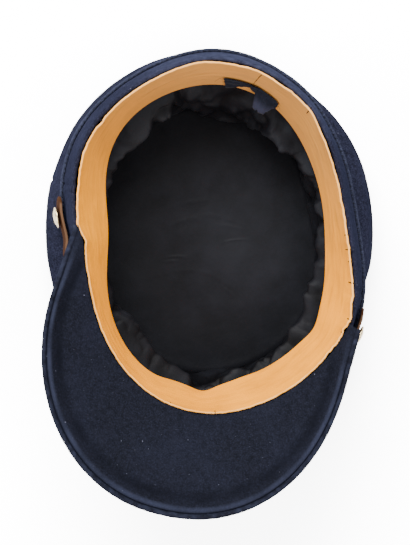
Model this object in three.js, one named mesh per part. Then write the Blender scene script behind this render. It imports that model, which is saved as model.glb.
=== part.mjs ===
// A yacht cap that lies upside-down on its crown: a wool crown, band and peak, a leather
// sweatband with a ribbon bow, a gathered satin lining, and a leather chin strap held by two
// domed brass buttons.
//
// Millimetres. +Z is up: the crown's flat tip lies on z = 0 and the head opening faces up.
// The peak points to -Y. The origin is on the crown's tip, under the middle of the opening.
// A bearing is an angle in degrees round the cap, from the front (-Y) towards +X.
import * as THREE from "three";
import { mergeVertices } from "three/addons/utils/BufferGeometryUtils.js";

// ---- driving dimensions ----------------------------------------------------------------

const GAP = 0.3;                 // clearance between pieces that touch
const ROUND_STEPS = 60;          // stations round the cap

const SEAM_Z = 43.4;             // middle of the piping between crown and band
const RIM_Z = 86;                // top of the band, where the head goes in
const FLARE = 8.3;               // how much wider the band is at the crown than at the rim
const BAND_WALL = 3;             // wool over buckram
const WOOL_WALL = 2.4;           // crown cloth with its backing
const FOOT_SKEW = 1.1;           // how far the band's foot is shifted to the right
const PIPING_RADIUS = 1.25;
const PIPING_PROUD = 1.5;        // how far the piping's middle stands out from the band

const CROWN_EDGE_Z = 22;         // height of the seam between the crown's tip and side
const TIP_FLAT_SHARE = 0.76;     // part of the crown's radius that lies flat

const LEATHER_WALL = 1.3;
const SWEATBAND_TOP_Z = 87.2;
const SWEATBAND_DROP = 34;       // from the rim down to the free edge
const SWEATBAND_LEAN = 1.15;     // above 1, the leather leans in more towards its free edge

const SATIN_WALL = 1.1;
const LINING_TIP_Z = 2.8;        // underside of the lining's flat tip
const GATHER_COUNT = 24;
const GATHER_STEPS = 96;         // stations round the gathered lining

const PEAK_THICK = 3.8;
const PEAK_CORNER_THICK = 2.2;
const PEAK_CORNER_WIDE = 0.6;    // least width of wool between the band and the binding
const PEAK_TAPER = 16;           // degrees of bearing over which a corner thins
const PEAK_FROM = -78;           // bearing of the peak's left corner
const PEAK_TO = 75;              // bearing of the peak's right corner
const PEAK_STEPS = 36;
const PEAK_SLOPE = 0.44;         // rise for each millimetre outwards
const PEAK_SIDE_LIFT = 0.5;      // extra share of slope where the peak bends round the sides
const PEAK_MIDDLE_X = 8;
const PEAK_HALF_WIDTH = 88.3;
const PEAK_SHOULDER_Y = -57;     // where the straight sides turn into the round front
const PEAK_REACH = 100.6;        // from the shoulder to the front edge
const PEAK_ROUND_LEFT = 2;       // superellipse power of the front's left half
const PEAK_ROUND_RIGHT = 2.2;
const BINDING_HALF_WIDE = 1.6;
const BINDING_HALF_TALL = 2.3;

const STRAP_WIDE = 12;
const STRAP_THICK = 1.9;
const STRAP_Z = 52.4;
const STRAP_STEPS = 44;
const STRAP_CLEAR = GAP + 0.1;   // clear of the band's flat facets
const STRAP_FROM = -88;          // bearings of the strap's two tips
const STRAP_TO = 83;
const BUTTON_LEFT = -80.4;       // bearings of the two buttons
const BUTTON_RIGHT = 74;
const BUTTON_RADIUS = 6.4;
const BUTTON_CLEAR = 0.6;        // the strap is hollow under a button, so its rim comes nearer
const BUTTON_DROP = 0.5;         // how far a button hangs below the strap's middle
const BUTTON_NOD = 0.08;         // slope by which its face turns down from the strap's
const STRAP_TIP_SHARE = 0.55;    // width left at the strap's rounded tips
const BUTTON_RIM = 1.1;          // height of the button's rolled rim
const BUTTON_DOME = 2.7;         // height of its dome

// Outlines seen from above: a mean radius about a centre, waves round the cap, and local
// marks where something pushes the edge in or out.
const HEAD_OPENING = {
  mean: 90.3, x: -0.4, y: 0,
  waves: [
    { count: 2, swing: 12, turn: 25.4 },
    { count: 4, swing: 2, turn: -10 },
    { count: 6, swing: 0.5, turn: 15.7 },
  ],
  marks: [
    { at: 75, wide: 8, out: 1.3 },
    { at: -71, wide: 6, out: -1.4 },
    { at: -162, wide: 14, out: 0.9 },
    { at: 162, wide: 8, out: 0.6 },
  ],
};
const FREE_EDGE = {
  mean: 80.7, x: 0, y: 1.4,
  waves: [
    { count: 2, swing: 12.6, turn: 19 },
    { count: 3, swing: 2.3, turn: -21 },
    { count: 4, swing: 1.4, turn: -19 },
    { count: 6, swing: 0.7, turn: 4 },
  ],
  marks: [],
};
const CROWN_OVAL = {
  mean: 108.1, x: -1.3, y: 2.9,
  waves: [{ count: 2, swing: 5.9, turn: 18 }],
  marks: [
    { at: -118, wide: 16, out: 0.6 },
    { at: -90, wide: 6, out: 0.5 },
    { at: 90, wide: 7, out: -1.5 },
    { at: 136, wide: 8, out: 0.3 },
    { at: 163, wide: 9, out: -2.2 },
  ],
};
const LINING_OVAL = {
  mean: 78, x: -1, y: 0,
  waves: [
    { count: 2, swing: 8, turn: 24 },
    { count: 4, swing: 1.5, turn: -12 },
  ],
  marks: [],
};
// Where the strap's button pulls the band's middle in.
const BAND_DENTS = [{ at: 76, wide: 9, in: 1.6 }];

// Where the strap's stiff ends stand off the band: at the upper edge by top, at the lower by foot.
const LOOSE_ENDS = [
  { at: -84, wide: 9, top: 1.3, foot: 2.2 },
  { at: 79, wide: 9, top: 2.4, foot: 0.6 },
];

// Sections of each wall, from the crown's tip towards the rim. A section's outer line is
// share times the crown's oval, mixed with the head opening by mix, moved out by out, moved
// in by dent times the dents above, and shifted to the right by skew times the foot's skew.
const CROWN_TIP_SECTIONS = [
  { z: 0, share: 0, mix: 0, out: 0 },
  { z: 0, share: 0.45, mix: 0, out: 0 },
  { z: 0, share: TIP_FLAT_SHARE, mix: 0, out: 0 },
  { z: 1.6, share: 0.845, mix: 0, out: 0 },
  { z: 6, share: 0.925, mix: 0, out: 0 },
  { z: 13.5, share: 0.98, mix: 0, out: 0 },
  { z: CROWN_EDGE_Z - GAP, share: 1, mix: 0, out: -0.6 },
];
const CROWN_SIDE_SECTIONS = [
  { z: CROWN_EDGE_Z, share: 1, mix: 0, out: -0.6 },
  { z: 28, share: 1, mix: 0.06, out: 1.2 },
  { z: 34, share: 1, mix: 0.4, out: 5.2, skew: 0.4 },
  { z: 38.8, share: 1, mix: 0.8, out: 9.2, skew: 0.8 },
  { z: SEAM_Z - PIPING_RADIUS - GAP, share: 1, mix: 1, out: BAND_WALL + FLARE + 1.2, skew: 1 },
];
const BAND_SECTIONS = [
  { z: SEAM_Z + PIPING_RADIUS + GAP, share: 1, mix: 1, out: BAND_WALL + FLARE, dent: 0.45, skew: 1 },
  { z: 50, share: 1, mix: 1, out: BAND_WALL + FLARE * 0.93, dent: 0.8, skew: 0.9 },
  { z: 58, share: 1, mix: 1, out: BAND_WALL + FLARE * 0.72, dent: 0.95, skew: 0.7 },
  { z: 71, share: 1, mix: 1, out: BAND_WALL + FLARE * 0.32, dent: 0.3, skew: 0.3 },
  { z: RIM_Z, share: 1, mix: 1, out: BAND_WALL + 0.05 },
];
const PIPING_SECTIONS = [
  { z: SEAM_Z, share: 1, mix: 1, out: BAND_WALL + FLARE + PIPING_PROUD, dent: 0.15, skew: 1 },
];

const COLOURS = {
  wool: { color: 0x23263a, roughness: 0.95, metalness: 0 },
  wool_trim: { color: 0x33385a, roughness: 0.95, metalness: 0 },
  sweatband_leather: { color: 0xdba667, roughness: 0.6, metalness: 0 },
  lining_satin: { color: 0x1d1e23, roughness: 0.5, metalness: 0 },
  ribbon: { color: 0x262a3a, roughness: 0.6, metalness: 0 },
  strap_leather: { color: 0x8a5630, roughness: 0.55, metalness: 0 },
  brass: { color: 0xd8b46a, roughness: 0.25, metalness: 1 },
};

// ---- small helpers ---------------------------------------------------------------------

const radians = THREE.MathUtils.degToRad;
const mix = THREE.MathUtils.lerp;

function bell(distance, width) {
  return Math.exp(-((distance / width) ** 2));
}

function bearingBetween(a, b) {
  return ((((a - b) % 360) + 540) % 360) - 180;
}

function radiusOf(outline, bearing) {
  const angle = radians(bearing);
  let radius = outline.mean + outline.x * Math.sin(angle) - outline.y * Math.cos(angle);
  for (const wave of outline.waves) {
    radius += wave.swing * Math.cos(wave.count * radians(bearing - wave.turn));
  }
  for (const mark of outline.marks) {
    radius += mark.out * bell(bearingBetween(bearing, mark.at), mark.wide);
  }
  return radius;
}

function placed(bearing, radius, z) {
  const angle = radians(bearing);
  return new THREE.Vector3(radius * Math.sin(angle), -radius * Math.cos(angle), z);
}

function meshOf(name, finish, geometry) {
  geometry.deleteAttribute("normal");
  geometry.deleteAttribute("uv");
  const merged = mergeVertices(geometry, 1e-4);
  merged.computeVertexNormals();
  const mesh = new THREE.Mesh(merged, new THREE.MeshStandardMaterial(COLOURS[finish]));
  mesh.name = name;
  return mesh;
}

function moveVertices(geometry, place) {
  const position = geometry.attributes.position;
  for (let i = 0; i < position.count; i += 1) {
    const point = place(new THREE.Vector3().fromBufferAttribute(position, i), i);
    position.setXYZ(i, point.x, point.y, point.z);
  }
  return geometry;
}

// A closed ring, or a bowl where its profile starts on the axis, turned by LatheGeometry and
// then moved out to the cap's oval. profileAt(bearing) gives the profile's points.
function turnedWall(steps, profileAt) {
  const count = profileAt(0).length;
  const placeholder = Array.from({ length: count }, (_, i) => new THREE.Vector2(1, i));
  const geometry = new THREE.LatheGeometry(placeholder, steps);
  const profiles = [];
  for (let step = 0; step < steps; step += 1) {
    profiles.push(profileAt((step * 360) / steps));
  }
  return moveVertices(geometry, (_, index) => {
    const step = Math.floor(index / count) % steps;
    const point = profiles[step][index % count];
    return placed((step * 360) / steps, point.x, point.y);
  });
}

// The section's outer line and, one wall further in, its inner line, joined into one profile.
// A ring's two ends are cut level, and no wider than a steep wall would be.
const LEAST_END_RISE = 0.35;

function wallProfile(line, wall, closed) {
  const last = line.length - 1;
  const inner = line.map((point, i) => {
    const along = line[Math.min(i + 1, last)].clone().sub(line[Math.max(i - 1, 0)]).normalize();
    if (point.x === 0) {
      return new THREE.Vector2(0, point.y + wall);
    }
    if (i === 0 || i === last) {
      return new THREE.Vector2(point.x - wall / Math.max(along.y, LEAST_END_RISE), point.y);
    }
    return new THREE.Vector2(point.x - along.y * wall, point.y + along.x * wall);
  });
  const profile = [...line, ...inner.reverse()];
  if (closed) {
    profile.push(profile[0].clone());
  }
  return profile;
}

function sectionLine(sections, bearing) {
  const crown = radiusOf(CROWN_OVAL, bearing);
  const head = radiusOf(HEAD_OPENING, bearing);
  let dent = 0;
  for (const row of BAND_DENTS) {
    dent += row.in * bell(bearingBetween(bearing, row.at), row.wide);
  }
  const skew = FOOT_SKEW * Math.sin(radians(bearing));
  return sections.map((row) => {
    const oval = mix(crown, head, row.mix) * row.share;
    const radius = oval + row.out - dent * (row.dent ?? 0) + skew * (row.skew ?? 0);
    return new THREE.Vector2(radius, row.z);
  });
}

// ---- crown, band and piping ------------------------------------------------------------

function crownTip() {
  const profileAt = (bearing) =>
    wallProfile(sectionLine(CROWN_TIP_SECTIONS, bearing), WOOL_WALL, false);
  return meshOf("crown_tip", "wool", turnedWall(ROUND_STEPS, profileAt));
}

function crownSide() {
  const profileAt = (bearing) =>
    wallProfile(sectionLine(CROWN_SIDE_SECTIONS, bearing), WOOL_WALL, true);
  return meshOf("crown_side", "wool", turnedWall(ROUND_STEPS, profileAt));
}

function band() {
  const profileAt = (bearing) =>
    wallProfile(sectionLine(BAND_SECTIONS, bearing), BAND_WALL - GAP, true);
  return meshOf("band", "wool", turnedWall(ROUND_STEPS, profileAt));
}

function bandPiping() {
  const sides = 6;
  const profileAt = (bearing) => {
    const middle = sectionLine(PIPING_SECTIONS, bearing)[0].x;
    const circle = [];
    for (let i = 0; i <= sides; i += 1) {
      const turn = ((i % sides) * 2 * Math.PI) / sides;
      const out = middle + PIPING_RADIUS * Math.cos(turn);
      circle.push(new THREE.Vector2(out, SEAM_Z + PIPING_RADIUS * Math.sin(turn)));
    }
    return circle;
  };
  return meshOf("band_piping", "wool_trim", turnedWall(ROUND_STEPS, profileAt));
}

// ---- sweatband -------------------------------------------------------------------------

// The leather's outer face: down from the rim, leaning in to the free edge.
function sweatbandRadius(bearing, z) {
  const down = (SWEATBAND_TOP_Z - z) / SWEATBAND_DROP;
  const lean = Math.max(down, 0) ** SWEATBAND_LEAN;
  return mix(radiusOf(HEAD_OPENING, bearing), radiusOf(FREE_EDGE, bearing), lean);
}

function sweatband() {
  const rows = 4;
  const profileAt = (bearing) => {
    const line = [];
    for (let i = 0; i <= rows; i += 1) {
      const z = SWEATBAND_TOP_Z - SWEATBAND_DROP * (1 - i / rows);
      line.push(new THREE.Vector2(sweatbandRadius(bearing, z), z));
    }
    return wallProfile(line, LEATHER_WALL, true);
  };
  return meshOf("sweatband", "sweatband_leather", turnedWall(ROUND_STEPS, profileAt));
}

// ---- lining ----------------------------------------------------------------------------

// The satin leaves the band near its seam, puffs in past the sweatband's free edge, and drops
// in gathers to the seam of its flat tip. A crest row gives how far the puffs reach in past
// that edge at a bearing, and the height at which they do.
const LINING_TOP_Z = 48.5;
const LINING_CREST = [
  { at: -180, reach: 15.8, z: 18 },
  { at: -172, reach: 16.5, z: 14 },
  { at: -160, reach: 16.5, z: 14 },
  { at: -151, reach: 8, z: 30 },
  { at: -147, reach: 7, z: 42 },
  { at: -143, reach: 11.3, z: 42 },
  { at: -130, reach: 13.8, z: 42 },
  { at: -123, reach: 12.6, z: 42 },
  { at: -116, reach: 7.8, z: 42 },
  { at: -110, reach: 4.1, z: 42 },
  { at: -88, reach: 0, z: 40 },
  { at: -62, reach: 0, z: 40 },
  { at: -48, reach: 1.5, z: 41 },
  { at: -37, reach: 5.1, z: 42 },
  { at: -28, reach: 10.8, z: 42 },
  { at: -21, reach: 13.8, z: 42 },
  { at: -14, reach: 13.3, z: 42 },
  { at: -7, reach: 9.9, z: 42 },
  { at: -0.6, reach: 8.3, z: 42 },
  { at: 6.5, reach: 4.9, z: 42 },
  { at: 13, reach: 3.6, z: 42 },
  { at: 19, reach: 5.9, z: 42 },
  { at: 25, reach: 6, z: 42 },
  { at: 33, reach: 3.4, z: 42 },
  { at: 40, reach: 3.9, z: 42 },
  { at: 47, reach: 2.8, z: 42 },
  { at: 55, reach: 4.9, z: 42 },
  { at: 64, reach: 4.5, z: 42 },
  { at: 74, reach: 5.1, z: 42 },
  { at: 84, reach: 3.5, z: 42 },
  { at: 96, reach: 1.7, z: 42 },
  { at: 104, reach: 0, z: 42 },
  { at: 120, reach: 1.3, z: 42 },
  { at: 138, reach: 1.9, z: 42 },
  { at: 142, reach: 5.9, z: 42 },
  { at: 148, reach: 6.8, z: 42 },
  { at: 155, reach: 10.1, z: 42 },
  { at: 162, reach: 12.8, z: 42 },
  { at: 168, reach: 14.1, z: 40 },
  { at: 174, reach: 15, z: 30 },
  { at: 180, reach: 15.8, z: 18 },
];
const LINING_BELLY = 3;          // how far the satin hangs out behind its crest
const GATHER_DEEP = 2.4;         // depth of a gather half-way up
const GATHER_AT_SEAM = 0.6;
const GATHER_AT_CREST = 0.8;

function gather(bearing) {
  const wander = 24 * Math.sin(radians(3 * bearing)) + 14 * Math.sin(radians(5 * bearing + 40));
  return Math.cos(radians(GATHER_COUNT * bearing + wander));
}

function liningCrest(bearing) {
  const turn = bearingBetween(bearing, 0);
  const next = LINING_CREST.findIndex((row) => row.at > turn);
  const before = LINING_CREST[next - 1];
  const after = LINING_CREST[next];
  const share = THREE.MathUtils.smoothstep(turn, before.at, after.at);
  const reach = mix(before.reach, after.reach, share);
  return new THREE.Vector2(radiusOf(FREE_EDGE, bearing) - reach, mix(before.z, after.z, share));
}

function liningSide() {
  const foot = LINING_TIP_Z + SATIN_WALL + GAP;
  const profileAt = (bearing) => {
    const seam = radiusOf(LINING_OVAL, bearing);
    const crest = liningCrest(bearing);
    const fold = gather(bearing);
    const top = bandFace(bearing, LINING_TOP_Z) - BAND_WALL - 1.5 * GAP;
    const belly = mix(seam, crest.x, 0.5) + LINING_BELLY + GATHER_DEEP * fold;
    const line = [
      new THREE.Vector2(seam + GATHER_AT_SEAM * fold, foot),
      new THREE.Vector2(belly, mix(foot, crest.y, 0.5)),
      new THREE.Vector2(crest.x + GATHER_AT_CREST * fold, crest.y),
      new THREE.Vector2(mix(crest.x, top, 0.4), mix(crest.y, LINING_TOP_Z, 0.6)),
      new THREE.Vector2(top, LINING_TOP_Z),
    ];
    return wallProfile(line, SATIN_WALL, true);
  };
  return meshOf("lining_side", "lining_satin", turnedWall(GATHER_STEPS, profileAt));
}

function liningTip() {
  const profileAt = (bearing) => {
    const edge = radiusOf(LINING_OVAL, bearing) + 0.5;
    return [
      new THREE.Vector2(0, LINING_TIP_Z),
      new THREE.Vector2(edge, LINING_TIP_Z),
      new THREE.Vector2(edge, LINING_TIP_Z + SATIN_WALL),
      new THREE.Vector2(0, LINING_TIP_Z + SATIN_WALL),
    ];
  };
  return meshOf("lining_tip", "lining_satin", turnedWall(ROUND_STEPS, profileAt));
}

// ---- peak ------------------------------------------------------------------------------

// How far along a bearing the peak reaches: straight sides, then a superellipse front.
function peakReach(bearing) {
  const angle = radians(bearing);
  const inside = (radius) => {
    const x = radius * Math.sin(angle) - PEAK_MIDDLE_X;
    const forward = PEAK_SHOULDER_Y + radius * Math.cos(angle);
    const across = Math.abs(x) / PEAK_HALF_WIDTH;
    if (forward <= 0) {
      return across < 1;
    }
    const power = x < 0 ? PEAK_ROUND_LEFT : PEAK_ROUND_RIGHT;
    return across ** power + (forward / PEAK_REACH) ** power < 1;
  };
  let low = 60;
  let high = 200;
  while (high - low > 0.001) {
    const middle = (low + high) / 2;
    if (inside(middle)) {
      low = middle;
    } else {
      high = middle;
    }
  }
  return low;
}

function peakInner(bearing) {
  return radiusOf(HEAD_OPENING, bearing) + GAP;
}

function peakLift(bearing, radius) {
  const slope = PEAK_SLOPE * (1 + PEAK_SIDE_LIFT * Math.sin(radians(bearing)) ** 2);
  return RIM_Z + GAP + slope * (radius - peakInner(bearing));
}

// The peak thins towards its two corners.
function peakThickness(bearing) {
  const fromCorner = Math.min(bearing - PEAK_FROM, PEAK_TO - bearing);
  const share = THREE.MathUtils.smoothstep(fromCorner, 0, PEAK_TAPER);
  return mix(PEAK_CORNER_THICK, PEAK_THICK, share);
}

// Rows from the band to the edge: the share of the way out and the upper face's relief, a
// shallow valley and then a padded ridge beside the binding.
const PEAK_ROWS = [
  { share: 0, relief: 0 },
  { share: 0.35, relief: 0 },
  { share: 0.62, relief: -0.2 },
  { share: 0.8, relief: -0.5 },
  { share: 0.88, relief: 0.1 },
  { share: 0.93, relief: 0.7 },
  { share: 0.97, relief: 0.4 },
  { share: 1, relief: -0.6 },
];

function peak() {
  const rows = PEAK_ROWS.length - 1;
  const geometry = new THREE.BoxGeometry(PEAK_STEPS, rows, 1, PEAK_STEPS, rows, 1);
  moveVertices(geometry, (corner) => {
    const bearing = mix(PEAK_FROM, PEAK_TO, corner.x / PEAK_STEPS + 0.5);
    const row = PEAK_ROWS[Math.round(rows / 2 - corner.y)];
    const inner = peakInner(bearing);
    const outer = peakReach(bearing) - 2 * BINDING_HALF_WIDE - GAP;
    const radius = mix(inner, Math.max(outer, inner + PEAK_CORNER_WIDE), row.share);
    const top = corner.z > 0 ? peakThickness(bearing) + row.relief * row.share : 0;
    return placed(bearing, radius, peakLift(bearing, radius) + top);
  });
  return meshOf("peak", "wool", geometry);
}

function peakBinding() {
  const sides = 8;
  const geometry = new THREE.CylinderGeometry(1, 1, PEAK_STEPS, sides, PEAK_STEPS);
  moveVertices(geometry, (corner) => {
    const bearing = mix(PEAK_FROM, PEAK_TO, 0.5 + corner.y / PEAK_STEPS);
    const inner = peakInner(bearing) + PEAK_CORNER_WIDE + GAP;
    const middle = Math.max(peakReach(bearing) - BINDING_HALF_WIDE, inner + BINDING_HALF_WIDE);
    const radius = middle + corner.x * BINDING_HALF_WIDE;
    const thick = peakThickness(bearing);
    const tall = (corner.z * BINDING_HALF_TALL * thick) / PEAK_THICK;
    return placed(bearing, radius, peakLift(bearing, middle) + thick / 2 + tall);
  });
  return meshOf("peak_binding", "wool_trim", geometry);
}

// ---- chin strap and buttons ------------------------------------------------------------

function bandFace(bearing, z) {
  const line = sectionLine(BAND_SECTIONS, bearing);
  const upper = Math.max(line.findIndex((point) => point.y >= z), 1);
  const share = (z - line[upper - 1].y) / (line[upper].y - line[upper - 1].y);
  return mix(line[upper - 1].x, line[upper].x, share);
}

// The strap's inner face: clear of the band, and further off it at the two loose ends.
function strapFace(bearing, z) {
  const down = THREE.MathUtils.clamp(0.5 + (STRAP_Z - z) / STRAP_WIDE, 0, 1);
  let face = bandFace(bearing, z) + STRAP_CLEAR;
  for (const end of LOOSE_ENDS) {
    face += mix(end.top, end.foot, down) * bell(bearingBetween(bearing, end.at), end.wide);
  }
  return face;
}

function strapHalfWidth(along) {
  const fromEnd = Math.min(along, 1 - along) * STRAP_STEPS;
  return (STRAP_WIDE / 2) * mix(STRAP_TIP_SHARE, 1, Math.min(fromEnd, 1));
}

function chinStrap() {
  const geometry = new THREE.BoxGeometry(STRAP_STEPS, 1, 1, STRAP_STEPS, 1, 1);
  moveVertices(geometry, (corner) => {
    const along = corner.x / STRAP_STEPS + 0.5;
    const bearing = mix(STRAP_FROM, STRAP_TO, along);
    const z = STRAP_Z + Math.sign(corner.y) * strapHalfWidth(along);
    const out = corner.z > 0 ? STRAP_THICK : 0;
    return placed(bearing, strapFace(bearing, z) + out, z);
  });
  return meshOf("chin_strap", "strap_leather", geometry);
}

// A plain domed button on a rolled rim, turned about its own axis: shares of the button's
// radius against heights as a share of the dome above the rim.
const BUTTON_SIDES = 20;
const BUTTON_PROFILE = [
  { share: 1, dome: 0 },
  { share: 0.89, dome: 0.24 },
  { share: 0.62, dome: 0.67 },
  { share: 0.31, dome: 0.9 },
  { share: 0, dome: 1 },
];

function buttonGeometry() {
  const profile = [
    new THREE.Vector2(0, 0),
    new THREE.Vector2(BUTTON_RADIUS * 0.88, 0),
    new THREE.Vector2(BUTTON_RADIUS, BUTTON_RIM / 2),
  ];
  for (const { share, dome } of BUTTON_PROFILE) {
    profile.push(new THREE.Vector2(BUTTON_RADIUS * share, mix(BUTTON_RIM, BUTTON_DOME, dome)));
  }
  return new THREE.LatheGeometry(profile, BUTTON_SIDES);
}

// The button hangs on the strap's face by its shank, turned down a little.
function button(name, bearing) {
  const mesh = meshOf(name, "brass", buttonGeometry());
  const middle = STRAP_Z - BUTTON_DROP;
  const faceAt = (turn, rise, off) =>
    placed(bearing + turn, strapFace(bearing + turn, middle + rise) + off, middle + rise);
  const seat = faceAt(0, 0, STRAP_THICK + BUTTON_CLEAR + BUTTON_RADIUS * BUTTON_NOD);
  const ahead = faceAt(3, 0, 0).sub(faceAt(-3, 0, 0));
  const upward = faceAt(0, 5, 0).sub(faceAt(0, -5, 0));
  const outward = ahead.cross(upward).normalize();
  outward.z -= BUTTON_NOD;
  outward.normalize();
  mesh.position.copy(seat);
  mesh.quaternion.setFromUnitVectors(new THREE.Vector3(0, 1, 0), outward);
  return mesh;
}

// ---- ribbon bow ------------------------------------------------------------------------

// One flattened strip lies along the leather's inner face: a free tail to the left, the knot,
// and to the right a loop whose lower part hangs in over the lining. Rows run along the ribbon.
// A row's middle line stands at z, with up millimetres of ribbon above it and down below it;
// the lower part leans by lean degrees towards the middle of the cap.
const BOW_BEARING = -177.3;
const BOW_CLEAR = 1.5 * GAP;
const BOW_ROWS = [
  { along: 17, z: 60, up: 5.6, down: 5.4, lean: 0, in: 0.1, thick: 1.5 },
  { along: 9, z: 63, up: 3.8, down: 3.8, lean: 0, in: 0.2, thick: 1.5 },
  { along: 3, z: 65.5, up: 2.2, down: 2.2, lean: 0, in: 0.1, thick: 1.7 },
  { along: 2.2, z: 65.8, up: 2.5, down: 2.5, lean: 0, in: 0, thick: 2.8 },
  { along: -1.4, z: 65.7, up: 2.6, down: 2.7, lean: 6, in: 0, thick: 2.8 },
  { along: -2.2, z: 65.5, up: 2.4, down: 12, lean: 25, in: 0.2, thick: 1.7 },
  { along: -6, z: 64.6, up: 2.6, down: 15.4, lean: 30, in: 0.5, thick: 1.9 },
  { along: -10.5, z: 63.4, up: 3, down: 14, lean: 30, in: 0.6, thick: 1.9 },
  { along: -13.4, z: 62.3, up: 3.7, down: 9.4, lean: 21, in: 0.6, thick: 1.8 },
  { along: -16.5, z: 60.8, up: 3.4, down: 3.8, lean: 0, in: 0.4, thick: 1.5 },
];

function bowPoint(row, upper, depth) {
  const across = upper * (upper > 0 ? row.up : row.down);
  const lean = radians(upper < 0 ? row.lean : row.lean / 2);
  const down = Math.min(across, 0);
  const z = row.z + Math.max(across, 0) + down * Math.cos(lean) - depth * Math.sin(lean);
  const inwards = row.in - down * Math.sin(lean) + depth * Math.cos(lean);
  const bearing = BOW_BEARING + THREE.MathUtils.radToDeg(row.along / HEAD_OPENING.mean);
  const face = sweatbandRadius(bearing, z) - LEATHER_WALL - BOW_CLEAR;
  return placed(bearing, face - inwards, z);
}

function sweatbandBow() {
  const steps = BOW_ROWS.length - 1;
  const geometry = new THREE.BoxGeometry(steps, 2, 1, steps, 2, 1);
  moveVertices(geometry, (corner) => {
    const row = BOW_ROWS[Math.round(corner.x + steps / 2)];
    return bowPoint(row, corner.y, corner.z > 0 ? row.thick : 0);
  });
  return meshOf("sweatband_bow", "ribbon", geometry);
}

// ---- the cap ---------------------------------------------------------------------------

const cap = new THREE.Group();
cap.add(
  crownTip(),
  crownSide(),
  bandPiping(),
  band(),
  peak(),
  peakBinding(),
  sweatband(),
  sweatbandBow(),
  liningSide(),
  liningTip(),
  chinStrap(),
  button("button_left", BUTTON_LEFT),
  button("button_right", BUTTON_RIGHT)
);

export default cap;
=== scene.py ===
import math
from collections import namedtuple

import bmesh
import bpy
from bpy.props import FloatProperty, FloatVectorProperty, IntProperty, PointerProperty
from mathutils import Matrix, Vector, noise


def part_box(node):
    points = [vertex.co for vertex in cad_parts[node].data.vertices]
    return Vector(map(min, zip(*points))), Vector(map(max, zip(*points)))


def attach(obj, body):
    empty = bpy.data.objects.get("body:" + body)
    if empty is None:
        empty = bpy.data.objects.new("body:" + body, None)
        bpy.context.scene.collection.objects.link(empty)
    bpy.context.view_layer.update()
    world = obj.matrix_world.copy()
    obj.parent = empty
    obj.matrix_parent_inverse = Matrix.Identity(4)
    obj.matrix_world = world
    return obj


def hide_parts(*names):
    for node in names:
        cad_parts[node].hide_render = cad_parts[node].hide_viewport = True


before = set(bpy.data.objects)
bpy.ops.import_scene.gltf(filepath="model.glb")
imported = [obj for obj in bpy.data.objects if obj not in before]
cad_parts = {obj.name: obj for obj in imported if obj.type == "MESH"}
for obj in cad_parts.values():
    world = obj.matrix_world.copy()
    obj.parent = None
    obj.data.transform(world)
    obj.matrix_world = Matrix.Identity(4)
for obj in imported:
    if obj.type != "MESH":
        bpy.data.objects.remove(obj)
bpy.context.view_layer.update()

# Dresses a yacht cap that lies upside-down on its crown: felted wool over the crown, band and
# peak, a tan leather sweatband with a ribbon bow, a gathered satin lining, and a brown chin
# strap with two domed buttons. The frame is in metres, +Z up, with the peak towards -Y.
# Tables and shape functions are in millimetres. A bearing is an angle in degrees round the
# cap, from the front (-Y) towards +X.

bl_info = {
    "name": "Yacht Cap",
    "version": (1, 0, 0),
    "blender": (4, 5, 0),
    "location": "View3D > Sidebar > Yacht Cap",
    "description": "Models a wool yacht cap lying upside-down, one piece at a time",
    "category": "Add Mesh",
}

MM = 0.001
RIM_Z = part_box("band")[1].z
LINING_TIP_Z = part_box("lining_tip")[0].z
PIPING_LOW, PIPING_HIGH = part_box("band_piping")
LEATHER_LOW, LEATHER_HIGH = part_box("sweatband")


def linear(code):
    """Turns an sRGB hex colour into linear red, green, blue and alpha."""
    channels = [int(code[i:i + 2], 16) / 255 for i in (1, 3, 5)]
    return [c / 12.92 if c <= 0.04045 else ((c + 0.055) / 1.055) ** 2.4 for c in channels] + [1]


# ---- what a user would change ----


def length(name, description, default):
    return FloatProperty(name=name, description=description, default=default, unit="LENGTH")


def colour(name, description, code):
    return FloatVectorProperty(
        name=name, description=description, default=linear(code), subtype="COLOR", size=4)


def number(name, description, default):
    return FloatProperty(name=name, description=description, default=default)


class YachtCapShell(bpy.types.PropertyGroup):
    """Sizes and colours of the wool crown, band and piping."""

    rim: length("Rim", "Height of the band's rim", RIM_Z)
    seam: length("Seam", "Height of the crown's piping", (PIPING_LOW.z + PIPING_HIGH.z) / 2)
    flare: length("Flare", "How much wider the band is at the crown than at the rim", 8.3 * MM)
    wool_wall: length("Wool", "Thickness of the crown's cloth", 2.4 * MM)
    band_wall: length("Band", "Thickness of the band's wool over buckram", 3 * MM)
    piping: length("Piping", "Radius of the piping", 1.25 * MM)
    stations: IntProperty(name="Stations", description="Steps round the cap", default=480, min=60)
    wool_dark: colour("Wool, deep", "Colour deep between the fibres", "#12131B")
    wool: colour("Wool", "Colour of the navy wool", "#1D1E2B")
    wool_nap: colour("Wool, nap", "Colour of the fibres' tips", "#333448")


class YachtCapPeak(bpy.types.PropertyGroup):
    """Sizes and colours of the peak."""

    thick: length("Thickness", "Thickness of the peak at its middle", 3.8 * MM)
    corner_thick: length("Corner", "Thickness of the peak at its two corners", 2.2 * MM)
    binding: length("Binding", "Half the width of the turned edge", 1.6 * MM)
    binding_tall: length("Binding, tall", "Half the height of the turned edge", 2.3 * MM)
    slope: number("Slope", "Rise for each unit outwards", 0.44)
    wool_dark: colour("Wool, deep", "Colour deep between the fibres", "#101116")
    wool: colour("Wool", "Colour of the peak's wool", "#16171E")
    wool_nap: colour("Wool, nap", "Colour of the fibres' tips", "#212331")


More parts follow.
